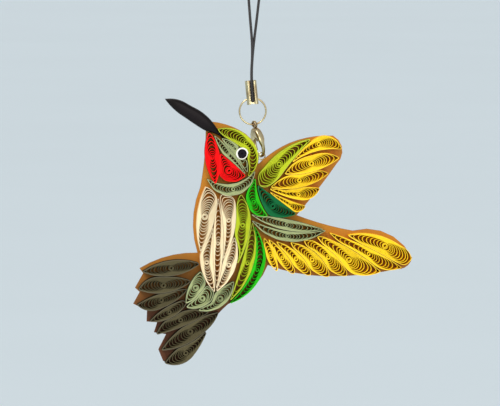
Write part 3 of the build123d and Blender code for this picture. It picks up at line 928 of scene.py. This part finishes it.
# Each paper's looks: deep and warm set its painted shade deep in the gaps between turns, and the edge settings its
# cut edge
PAPER_LOOKS = {
    "beak_black": dict(deep=0.5, edge_share=0.05, speckle=0.3, edge=(0.05, 0.03, 0.05)),
    "eye_white": dict(deep=0.6, edge_share=0.2, speckle=0.1, warm=1.0),
    "eye_black": dict(deep=0.4, edge_share=0.06, speckle=0.4, warm=0.9, edge=(0.08, 0.07, 0.1)),
    "lime": dict(deep=0.38, edge_share=0.25, warm=1.3),
    "olive": dict(deep=0.35, edge_share=0.25, warm=1.3),
    "sage": dict(deep=0.3, edge_share=0.4, warm=0.92),
    "red": dict(deep=0.3, edge_share=0.4, warm=1.2, edge=(0.95, 0.02, 0.02)),
    "cream": dict(deep=0.7, edge_share=0.4, warm=1.4),
    "green": dict(deep=0.25, edge_share=0.4, warm=0.9, edge=(0.12, 0.62, 0.04)),
    "dark_green": dict(deep=0.25, edge_share=0.3, warm=0.9, edge=(0.03, 0.26, 0.09)),
    "yellow": dict(deep=0.7, edge_share=0.25, warm=1.35),
    "brown": dict(deep=0.25, edge_share=0.25, warm=1.05),
}


def paper_for(slot, front):
    """The paper of a slot, made once."""
    name = f"paper {slot}"
    dye = tuple(getattr(bpy.context.scene.paper_colours, slot))
    return bpy.data.materials.get(name) or paper_material(name, dye, front, **PAPER_LOOKS[slot])


def wind(node_name, seed):
    """Winds one coil inside its node's outline.

    The strip's front edge wanders a little, and all but its outermost turn lie a step deeper.
    """
    sizes = bpy.context.scene.paper_sizes
    generator = np.random.default_rng(seed)
    low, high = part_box(node_name)
    outline = front_outline(frame["nodes"][node_name])
    if node_name in ROUND_COILS:
        outline = hull(outline)
    line, turn, half = coil_line(outline, sizes, OWN_CHANNELS.get(node_name, sizes.channel), generator)
    rough = sizes.unevenness * (wander(generator, len(line), (3, 7, 13, 29)) + 1) / 2
    rough += sizes.step * np.clip(turn - 0.9, 0, 1)
    piece = strip_on_edge(f"{node_name}_strip", line, half, low[1] + rough, high[1], turn)
    dress(piece, "bird", slot_of(node_name), paper_for(slot_of(node_name), low[1]), node_name)


def facing(way):
    """The turn of a camera or a light that looks along a way."""
    return way.to_track_quat("-Z", "Y").to_euler()


class QUILL_OT_camera(bpy.types.Operator):
    """Set the camera at the angle of the picture"""

    bl_idname = "quill.camera"
    bl_label = "Camera"

    def execute(self, context):
        """The camera stands off its aim by its distance, turned to the left and raised."""
        stage = context.scene.stage_settings
        aim = Vector((stage.aim_aside, 0.0, stage.aim_up))
        level = math.cos(stage.rise)
        way = Vector((-math.sin(stage.swing) * level, -math.cos(stage.swing) * level, math.sin(stage.rise)))
        camera = bpy.data.objects.new("camera", bpy.data.cameras.new("camera"))
        camera.data.sensor_width = 36.0
        camera.data.lens = camera.data.sensor_width * stage.distance / stage.view_width
        camera.data.clip_start, camera.data.clip_end = 0.05, 50.0
        camera.location = aim + way * stage.distance
        camera.rotation_euler = facing(-way)
        context.scene.collection.objects.link(camera)
        context.scene.camera = camera
        return {"FINISHED"}


class QUILL_OT_cord(bpy.types.Operator):
    """Lay the cord in its loop, with both ends in the clamp"""

    bl_idname = "quill.cord"
    bl_label = "Cord"

    def execute(self, context):
        """A round tube along a curve that the route's points pull on, two at a time."""
        cord = context.scene.cord_sizes
        top = cord.diameter / 2
        route = [
            ((column - LOOP_COLUMN) * SQUARE, depth * MM, (LOOP_ROW - row) * SQUARE + top)
            for column, row, depth in CORD_ROUTE
        ]
        curve = bpy.data.curves.new("cord_line", "CURVE")
        curve.dimensions = "3D"
        curve.resolution_u = 24
        spline = curve.splines.new("NURBS")
        spline.points.add(len(route) - 1)
        spline.points.foreach_set("co", [value for point in route for value in (*point, 1.0)])
        spline.order_u = 3
        spline.use_endpoint_u = True
        guide = bpy.data.objects.new("cord_line", curve)
        context.scene.collection.objects.link(guide)
        context.view_layer.update()
        line = bpy.data.meshes.new_from_object(guide.evaluated_get(context.evaluated_depsgraph_get()))
        points = vertices_of(line)
        bpy.data.objects.remove(guide)
        piece = grid_object("cord", tube(points, cord.diameter / 2, sides=20))
        dress(piece, "strap", "cord", cord_material(tuple(cord.colour), cord.diameter), "cord_loop")
        return {"FINISHED"}


def cord_material(black, diameter):
    """Braided cord: two sets of slanted ridges, sines of the way along it and of the way round it, with painted
    shade in the grooves and lighter crests.
    """
    material, tree, shader = new_material("braided cord")
    strip = tree.nodes.new("ShaderNodeTexCoord").outputs["UV"]
    axes = split(tree, strip)
    ridges = []
    for sign in (1.0, -1.0):
        run = times(tree, axes["X"], 2 * math.pi / BRAID_LAY)
        turn = times(tree, axes["Y"], sign * 2 * BRAID_RIDGES / diameter)
        ridges.append(maths(tree, "SINE", maths(tree, "ADD", run, turn)))
    height = maths(tree, "MAXIMUM", *ridges)
    fibres = noise(tree, stretched(tree, strip, (6000, 24000, 1)), 1.0, 3)
    # Painted shade: darker colour in the grooves between the ridges and lighter on their crests, mixed with the
    # fibres' own flecks
    share = ranged(tree, maths(tree, "ADD", height, fibres), -0.3, 1.6)
    lit_crest_tone = tuple(min(1.0, channel * 2.2 + 0.004) for channel in black)
    tone = mixed(tree, share, shaded(black, 0.4), lit_crest_tone)
    rough = ranged(tree, height, -0.5, 1.0, 0.75, 0.45)
    surfaced(tree, shader, tone, rough, height, strength=0.6, distance=0.06 * MM)
    shader.inputs["Sheen Weight"].default_value = 0.1
    return material


class CoilOperator:
    """What the coil operators share: they wind each of their coils."""

    names = ()
    first_seed = 0

    def execute(self, context):
        """Each coil is a spiral inside its solid's outline, with random draws of its own."""
        for seed, name in enumerate(self.names, self.first_seed):
            wind(name, seed)
        return {"FINISHED"}


class QUILL_OT_head(CoilOperator, bpy.types.Operator):
    """Wind the crown, cheeks, throat and collar"""

    bl_idname = "quill.head"
    bl_label = "Head coils"
    names = HEAD
    first_seed = SEEDS["head"]


class QUILL_OT_belly(CoilOperator, bpy.types.Operator):
    """Wind the cream coils of the belly"""

    bl_idname = "quill.belly"
    bl_label = "Belly coils"
    names = BELLY
    first_seed = SEEDS["belly"]


class QUILL_OT_flank(CoilOperator, bpy.types.Operator):
    """Wind the green coils of the flank and shoulder"""

    bl_idname = "quill.flank"
    bl_label = "Flank coils"
    names = FLANK
    first_seed = SEEDS["flank"]


class QUILL_OT_wing(CoilOperator, bpy.types.Operator):
    """Wind the coverts and feathers of the wings"""

    bl_idname = "quill.wing"
    bl_label = "Wing coils"
    names = WING
    first_seed = SEEDS["wing"]


class QUILL_OT_tail(CoilOperator, bpy.types.Operator):
    """Wind the vent and the tail"""

    bl_idname = "quill.tail"
    bl_label = "Tail coils"
    names = TAIL
    first_seed = SEEDS["tail"]


class QUILL_OT_eye(bpy.types.Operator):
    """Roll the eye's white strip round its black one"""

    bl_idname = "quill.eye"
    bl_label = "Eye"

    def execute(self, context):
        """Each strip is a plain round spiral from its solid's rim in, so tight that its turns touch."""
        sizes = context.scene.paper_sizes
        for number, (node, inner_node) in enumerate((("eye_ring", "eye_pupil"), ("eye_pupil", None))):
            low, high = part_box(node)
            centre = np.array([(low[0] + high[0]) / 2, (low[2] + high[2]) / 2])
            outer = (high[0] - low[0]) / 2
            inner = PUPIL_HEART
            if inner_node:
                inner_low, inner_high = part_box(inner_node)
                inner = (inner_high[0] - inner_low[0]) / 2
            pitch = sizes.thickness * PAPER_FILL
            line = round_line(centre, outer - pitch / 2, inner + pitch / 2, pitch, 56)
            generator = np.random.default_rng(SEEDS["eye"] + number)
            rough = 0.4 * sizes.unevenness * (wander(generator, len(line), (5, 11, 23)) + 1)
            # For the paper's look all of its turns are inner ones
            turn = np.full(len(line), sizes.fewest)
            piece = strip_on_edge(f"{node}_strip", line, pitch / 2, low[1] + rough, high[1], turn)
            dress(piece, "bird", slot_of(node), paper_for(slot_of(node), low[1]), node)
        return {"FINISHED"}


class QUILL_OT_beak(bpy.types.Operator):
    """Shape the beak from solid black paper"""

    bl_idname = "quill.beak"
    bl_label = "Beak"

    def execute(self, context):
        """Across the beak its section is a full arch, a superellipse, on low upright sides.

        The arch falls toward the tips with the root of the beak's width. The sides take up a fixed
        part of its height.
        """
        low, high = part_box("beak")
        one, other = two_sides(front_outline(frame["nodes"]["beak"]), 120)
        middle, across = (one + other) / 2, (one - other) / 2
        half_width = np.linalg.norm(across, axis=1)
        turn = np.linspace(0, math.pi, 17)
        lateral, height = powered(np.cos(turn), ARCH_ASIDE), np.sin(turn) ** ARCH_UP
        crown = np.clip((half_width / half_width.max()) ** 0.5, 0.15, 1.0)
        depth = (high[1] - low[1]) * (ARCH_LEAST + (1 - ARCH_LEAST) * crown)
        grid = np.empty((len(middle), len(turn) + 2, 3))
        flat = middle[:, None] + across[:, None] * lateral[None, :, None]
        grid[:, 1:-1, 0], grid[:, 1:-1, 2] = flat[..., 0], flat[..., 1]
        grid[:, 1:-1, 1] = high[1] - depth[:, None] * (ARCH_SIDE + (1 - ARCH_SIDE) * height)
        for column, edge in ((0, 1), (-1, -2)):
            grid[:, column] = grid[:, edge]
            grid[:, column, 1] = high[1]
        piece = grid_object("beak_paper", grid, smooth=math.radians(60))
        black = tuple(context.scene.paper_colours.beak_black)
        dress(piece, "bird", "beak_black", beak_material(black, low[1]), "beak")
        return {"FINISHED"}


def beak_material(black, front):
    """Black paper, rubbed to a soft shine."""
    material = paper_material("paper beak", black, front, **PAPER_LOOKS["beak_black"])
    shader = material.node_tree.nodes["Principled BSDF"]
    shader.inputs["Coat Weight"].default_value = 0.1
    shader.inputs["Coat Roughness"].default_value = 0.3
    return material


class QUILL_OT_card(bpy.types.Operator):
    """Give the backing card its colour and its cut edge"""

    bl_idname = "quill.card"
    bl_label = "Card"

    def execute(self, context):
        """The card's own mesh stays. Its faces are mottled and brown toward the tail.

        The sides are the faces that look less than half forward or back. They show the card's plies.
        """
        card = frame["nodes"]["backing_card"]
        material, tree, shader = new_material("golden card")
        tone = tuple(context.scene.paper_colours.card)
        coordinates = tree.nodes.new("ShaderNodeTexCoord")
        place = coordinates.outputs["Object"]
        fine = noise(tree, place, 5200, 4)
        broad = noise(tree, place, 60, 3)
        normal, axes = split(tree, coordinates.outputs["Normal"]), split(tree, place)
        side = maths(tree, "LESS_THAN", maths(tree, "ABSOLUTE", normal["Y"]), 0.5)
        face = mixed(tree, ranged(tree, broad, 0.3, 0.75), tone, shaded(tone, 0.8, 1.05))
        flecks = times(tree, ranged(tree, fine, 0.5, 0.8), 0.35)
        face = mixed(tree, flecks, face, shaded(tone, 1.25, 0.9))
        # Darker brown toward the bottom of the tail, by height alone
        darker_toward_tail = ranged(tree, axes["Z"], -120 * MM, -98 * MM, 1.0, 0.0)
        face = mixed(tree, darker_toward_tail, face, shaded(tone, 0.12, 1.6))
        plies = maths(tree, "SINE", times(tree, axes["Y"], 2 * math.pi / (0.3 * MM)))
        plies = ranged(tree, plies, -1.0, 1.0, 0.2, 0.8)
        cut = mixed(tree, plies, shaded(tone, 0.16, 1.5), shaded(tone, 0.4, 1.3))
        whole = mixed(tree, side, face, cut)
        rough = ranged(tree, fine, 0.2, 0.8, 0.6, 0.85)
        surfaced(tree, shader, whole, rough, fine, strength=0.3, distance=0.04 * MM)
        card.data.materials.clear()
        card.data.materials.append(material)
        return {"FINISHED"}


def pivot(joint):
    """The place of a joint's hinge."""
    return np.array(next(entry["pos_m"] for entry in frame["joints"] if entry["name"] == joint))


def leaning(lean):
    """The way down and the way aside of a piece that leans in the card's plane."""
    down = np.array([math.sin(lean), 0.0, -math.cos(lean)])
    return down, np.array([math.cos(lean), 0.0, math.sin(lean)])


def clasp_axes():
    """The clasp's own axes, from its eye: across it, down it, and square to it."""
    hardware = bpy.context.scene.hardware_sizes
    down, level = leaning(hardware.clasp_lean)
    aside = level * math.sin(hardware.clasp_turn) - np.array([0.0, math.cos(hardware.clasp_turn), 0.0])
    return pivot("clasp_swing"), aside, down, np.cross(aside, down)


def hook_lines(first, last, count):
    """The clasp's outer oval and its hook's long opening, a circle drawn out between two heights.

    Both run from one angle to another in degrees, where -90 is the clasp's top and 90 its foot.
    """
    hardware = bpy.context.scene.hardware_sizes
    width, top, end = np.array([hardware.clasp_half_width, hardware.clasp_top, hardware.clasp_end]) / MM
    turn = np.radians(np.linspace(first, last, count))
    outer = on_circle(turn) * [width, (end - top) / 2] + [0, (top + end) / 2]
    inner = on_circle(turn) * HOOK_RADIUS
    lift = np.tanh(3 * np.sin(turn)) / math.tanh(3)
    inner[:, 1] += (HOOK_TOP + HOOK_FOOT) / 2 + lift * (HOOK_FOOT - HOOK_TOP) / 2
    return outer, inner


def upright_circle(middle, radius, first, last, count):
    """Points of a circle that stands in the card's plane, from one angle to another."""
    turn = np.linspace(first, last, count)
    return middle + radius * np.stack([np.cos(turn), np.zeros(count), np.sin(turn)], axis=1)


def folded_line(hardware):
    """The middle line of the clamp's sheet: a rectangle with round corners, open at the front."""
    half = hardware.sheet / 2
    wide, deep = hardware.clamp_width / 2 - half, hardware.clamp_depth / 2 - half
    fold = hardware.clamp_fold - half
    lip = hardware.clamp_slot / 2 + half
    quarter = np.linspace(0, math.pi / 2, 9)
    corners = []
    for side, depth, first in ((-1, 1, 0.5), (-1, -1, 1.0), (1, -1, 1.5), (1, 1, 0.0)):
        centre = np.array([side * (wide - fold), depth * (deep - fold)])
        corners.append(centre + fold * on_circle(first * math.pi + quarter))
    return np.concatenate([[[-lip, deep]], *corners, [[lip, deep]]])


def sheet_outline(line, reach):
    """A sheet's outline: its middle line moved to both sides, joined by half circles at the lips."""
    ways = directions(line)
    left = left_of(ways)
    turn = np.linspace(0, math.pi, 9)[1:-1, None]
    start, end = (
        sign * reach * (np.cos(turn) * left[lip] + np.sin(turn) * ways[lip]) + line[lip]
        for lip, sign in ((0, -1), (-1, 1))
    )
    return np.concatenate([line + reach * left, end, (line - reach * left)[::-1], start])


def pierced_lug(hardware, middle):
    """The clamp's lug: a flat ring whose rim runs on square from its middle to the clamp."""
    turn = np.linspace(0, 2 * math.pi, 49)
    circle = on_circle(turn)
    reach = (middle[1] - hardware.clamp_depth / 2) / MM * LUG_REACH
    square = np.minimum(
        reach / np.maximum(-circle[:, 0], 1e-6), LUG_RIM / np.maximum(np.abs(circle[:, 1]), 1e-6)
    )
    rim = circle * np.where(circle[:, 0] < 0, square, LUG_RIM)[:, None]
    across, back, up = np.eye(3)
    return band(rim, LUG_HOLE * circle, LUG_HALF, (middle, back, up, across), power=6.0)


def metal():
    """The plate of all the links, made once."""
    hardware = bpy.context.scene.hardware_sizes
    made = bpy.data.materials.get("nickel plate")
    return made or metal_material("nickel plate", tuple(hardware.metal), tuple(hardware.tarnish), 0.85)


class QUILL_OT_clamp(bpy.types.Operator):
    """Fold the clamp round the cord's ends and pierce its lug"""

    bl_idname = "quill.clamp"
    bl_label = "Cord clamp"

    def execute(self, context):
        """The folded sheet's outline is carried down the clamp, and the lug set behind it.

        At both ends the outline is drawn in on a quarter circle back inside the clamp, which leaves
        the sheet's cut edges slightly hollow.
        """
        hardware = context.scene.hardware_sizes
        line = folded_line(hardware)
        down, aside = leaning(hardware.clamp_lean)
        front = np.array([0.0, -1.0, 0.0])
        level = (LOOP_ROW - CLAMP_ROW) * SQUARE + context.scene.cord_sizes.diameter / 2
        top = np.array([(CLAMP_COLUMN - LOOP_COLUMN) * SQUARE, 0.0, level])
        inward = np.array([1.0, 0.7, 0.35, 0.0])
        places = inward * hardware.clamp_edge
        drawn = (1 - np.sqrt(1 - inward**2)) * hardware.clamp_edge
        profiles = []
        for place, less in [*zip(places, drawn), *zip(hardware.clamp_length - places[::-1], drawn[::-1])]:
            flat = sheet_outline(line, hardware.sheet / 2 - less)
            profiles.append(top + flat[:, :1] * aside + flat[:, 1:] * front + place * down)
        lug = pierced_lug(hardware, pivot("ring_swing"))
        piece = grid_object("clamp_sheet", np.array(profiles), lug)
        dress(piece, "strap", "metal", metal(), "cord_clamp")
        return {"FINISHED"}


class QUILL_OT_ring(bpy.types.Operator):
    """Bend the round ring from wire"""

    bl_idname = "quill.ring"
    bl_label = "Ring"

    def execute(self, context):
        """A circle of round wire with a hairline joint, where both ends are cut square."""
        hardware = context.scene.hardware_sizes
        middle = pivot("ring_swing") - np.array([0.0, 0.0, hardware.ring_radius])
        gap = hardware.ring_joint / hardware.ring_radius / 2
        first = math.radians(RING_JOINT_AT)
        circle = upright_circle(middle, hardware.ring_radius, first + gap, first + 2 * math.pi - gap, 145)
        wire = hardware.ring_wire / 2 * (0.9 + 0.1 * domed(145, 0.02, 0.02))
        piece = grid_object("ring_wire", tube(circle, wire, sides=20))
        dress(piece, "ring", "metal", metal(), "jump_ring")
        return {"FINISHED"}


class QUILL_OT_clasp(bpy.types.Operator):
    """Cast the clasp's body, with its eye and its hook"""

    bl_idname = "quill.clasp"
    bl_label = "Clasp"

    def execute(self, context):
        """Bands between an oval and a long hole, thick at the shoulder and thin at the hook.

        Two cheeks leave a slot at the left for the lever. The eye is a flat ring of oval section.
        """
        hardware = context.scene.hardware_sizes
        axes = clasp_axes()
        shoulder, hook = hardware.clasp_thickness / MM / 2, hardware.hook_thickness / MM / 2
        slot = hardware.lever_thickness / MM / 2 + LEVER_PLAY
        outer, inner = hook_lines(BODY_FROM, BODY_TO, 97)
        height = (outer[:, 1] + inner[:, 1]) / 2
        half = shoulder + (hook - shoulder) * eased(np.clip((height - THIN_FROM) / THIN_OVER, 0, 1))
        body = band(outer, inner, half, axes, power=3.2, swell=domed(97, 0.004, 0.05))
        outer, inner = hook_lines(CHEEK_FROM, CHEEK_TO, 41)
        rounded = {"power": 3.2, "swell": domed(41, 0.01, 0.06)}
        cheek_half = (shoulder - slot) / 2
        cheeks = [
            band(outer, inner, cheek_half, axes, raised=side * (slot + cheek_half), **rounded)
            for side in (-1, 1)
        ]
        circle = on_circle(np.linspace(0, 2 * math.pi, 49))
        eye = band(EYE_RIM * circle, EYE_HOLE * circle, EYE_HALF, axes, power=2.6)
        piece = grid_object("clasp_casting", body, *cheeks, eye)
        dress(piece, "clasp", "metal", metal(), "clasp_body")
        return {"FINISHED"}


class QUILL_OT_lever(bpy.types.Operator):
    """Cast the clasp's lever with its thumb piece, and turn its pin"""

    bl_idname = "quill.lever"
    bl_label = "Lever and pin"

    def execute(self, context):
        """The lever is a band between the hook's opening and a smaller oval, and the pin a rod.

        The inner side follows a circle above and below the opening's straight part, and keeps its
        neck's way aside above that. The thumb piece is a band that stands out square.
        """
        hardware = context.scene.hardware_sizes
        axes = clasp_axes()
        half = hardware.lever_thickness / MM / 2
        drop = np.linspace(LEVER_TOP, LEVER_FOOT, 49)
        bulge = np.sqrt(1 - ((drop - LEVER_MIDDLE) / LEVER_HALF_LENGTH) ** 2)
        outer = np.stack([-LEVER_HALF_WIDTH * bulge, drop], axis=1)
        above = np.clip(HOOK_TOP - drop, 0, LEVER_FOLLOWED)
        below = np.clip(drop - HOOK_FOOT, 0, LEVER_FOLLOWED)
        hole = -np.sqrt(LEVER_ROUND**2 - above**2 - below**2)
        neck = np.minimum(hole, -LEVER_NECK)
        inner = np.stack([np.where(drop < LEVER_NECK_FOOT, neck, hole), drop], axis=1)
        inner[:, 0] = np.minimum(smoothed(inner, 3)[:, 0], -LEVER_LEAST)
        bar = band(outer, inner, half, axes, power=3.0, swell=domed(49, 0.05, 0.06))
        reach = np.linspace(THUMB_FROM, THUMB_TO, 25)
        upper, lower = (np.stack([reach, np.full(25, edge)], axis=1) for edge in (THUMB_TOP, THUMB_FOOT))
        thumb = band(upper, lower, half * THUMB_SHARE, axes, power=2.8, swell=domed(25, 0.1, 0.3))
        lever = grid_object("lever_casting", bar, thumb)
        dress(lever, "lever", "metal", metal(), "clasp_lever")
        origin, aside, down, normal = axes
        centre = origin + (PIN_ASIDE * aside + PIN_DOWN * down) * MM
        rod = centre + np.linspace(-1.0, 1.0, 33)[:, None] * hardware.clasp_thickness / 2 * normal
        swell = domed(33, 0.06, 0.06)
        pin = grid_object("lever_pin", tube(rod, hardware.pin_radius * swell, sides=20, up=down))
        dress(pin, "clasp", "metal", metal(), "clasp_pin")
        return {"FINISHED"}


class QUILL_OT_hanger(bpy.types.Operator):
    """Bend the wire eye on the card's back"""

    bl_idname = "quill.hanger"
    bl_label = "Wire eye"

    def execute(self, context):
        """One wire: round the clasp's hook, then straight to the card, where it is glued."""
        hardware = context.scene.hardware_sizes
        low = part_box("eye_pin")[0]
        hook = pivot("bird_swing")
        end = np.array([low[0] + SHANK_INSET, hook[1], low[2] + SHANK_INSET])
        far = np.linalg.norm(end - hook)
        way = (end - hook) / far
        first = math.atan2(way[2], way[0]) + math.radians(WIRE_BEFORE)
        last = first + 2 * math.pi - math.radians(WIRE_BEFORE + WIRE_BEHIND)
        circle = upright_circle(hook, hardware.eye_radius, first, last, 73)
        loop = tube(circle, hardware.eye_wire / 2 * domed(73, 0.02, 0.02), sides=18)
        reach = np.linspace(hardware.eye_radius, far, 33)[:, None]
        shank = tube(hook + way * reach, hardware.shank / 2 * domed(33, 0.02, 0.04), sides=18)
        piece = grid_object("hanger_wire", loop, shank)
        dress(piece, "bird", "metal", metal(), "eye_pin")
        return {"FINISHED"}


class QUILL_OT_stage(bpy.types.Operator):
    """Lay the pale floor and hang the soft lights"""

    bl_idname = "quill.stage"
    bl_label = "Stage"

    def execute(self, context):
        """A flat floor under the bird, an even room round it and three soft square lights."""
        stage = context.scene.stage_settings
        level, reach = CAD_BOX[0][2] - stage.drop, stage.reach
        corners = [(-reach, -reach), (reach, -reach), (reach, reach), (-reach, reach)]
        mesh = bpy.data.meshes.new("floor")
        mesh.from_pydata([(*corner, level) for corner in corners], [], [(0, 1, 2, 3)])
        floor = bpy.data.objects.new("floor", mesh)
        context.scene.collection.objects.link(floor)
        material, tree, shader = new_material("pale floor")
        place = tree.nodes.new("ShaderNodeTexCoord").outputs["Object"]
        tone = tuple(stage.floor)
        mottled = mixed(tree, noise(tree, place, 3.0, 2), tone, shaded(tone, 0.97))
        link(tree, mottled, shader.inputs["Base Color"])
        shader.inputs["Roughness"].default_value = 0.9
        mesh.materials.append(material)
        world = bpy.data.worlds.new("soft room")
        world.use_nodes = True
        background = world.node_tree.nodes["Background"]
        background.inputs["Color"].default_value = (*stage.room, 1.0)
        background.inputs["Strength"].default_value = stage.room_strength
        context.scene.world = world
        for name, place, size, power in LIGHTS:
            light = bpy.data.objects.new(name, bpy.data.lights.new(name, "AREA"))
            light.data.size = size
            light.data.energy = power
            light.data.color = LIGHT_COLOUR
            light.location = place
            light.rotation_euler = facing(LIGHT_AIM - light.location)
            context.scene.collection.objects.link(light)
        context.scene.view_settings.view_transform = "Standard"
        return {"FINISHED"}


class QUILL_PT_panel(bpy.types.Panel):
    """The pieces of the quilled bird"""

    bl_idname = "QUILL_PT_panel"
    bl_label = "Quilled bird"
    bl_space_type = "VIEW_3D"
    bl_region_type = "UI"
    bl_category = "Quilled bird"

    def draw(self, context):
        for operator in OPERATORS:
            self.layout.operator(operator.bl_idname)


OPERATORS = (
    QUILL_OT_camera,
    QUILL_OT_cord,
    QUILL_OT_head,
    QUILL_OT_belly,
    QUILL_OT_flank,
    QUILL_OT_wing,
    QUILL_OT_tail,
    QUILL_OT_eye,
    QUILL_OT_beak,
    QUILL_OT_card,
    QUILL_OT_clamp,
    QUILL_OT_ring,
    QUILL_OT_clasp,
    QUILL_OT_lever,
    QUILL_OT_hanger,
    QUILL_OT_stage,
)
SETTINGS = {
    "paper_sizes": PaperSizes,
    "paper_colours": PaperColours,
    "hardware_sizes": HardwareSizes,
    "cord_sizes": CordSizes,
    "stage_settings": StageSettings,
}


def register():
    """Registers the settings, the operators and the panel."""
    for name, settings in SETTINGS.items():
        bpy.utils.register_class(settings)
        setattr(bpy.types.Scene, name, PointerProperty(type=settings))
    for operator in OPERATORS:
        bpy.utils.register_class(operator)
    bpy.utils.register_class(QUILL_PT_panel)


def unregister():
    """Takes them away again."""
    bpy.utils.unregister_class(QUILL_PT_panel)
    for operator in reversed(OPERATORS):
        bpy.utils.unregister_class(operator)
    for name, settings in SETTINGS.items():
        delattr(bpy.types.Scene, name)
        bpy.utils.unregister_class(settings)


def main():
    """Makes every piece in order."""
    register()
    for operator in OPERATORS:
        group, name = operator.bl_idname.split(".")
        if getattr(getattr(bpy.ops, group), name)() != {"FINISHED"}:
            raise RuntimeError(f"{operator.bl_label} was not made")


if __name__ == "__main__":
    main()
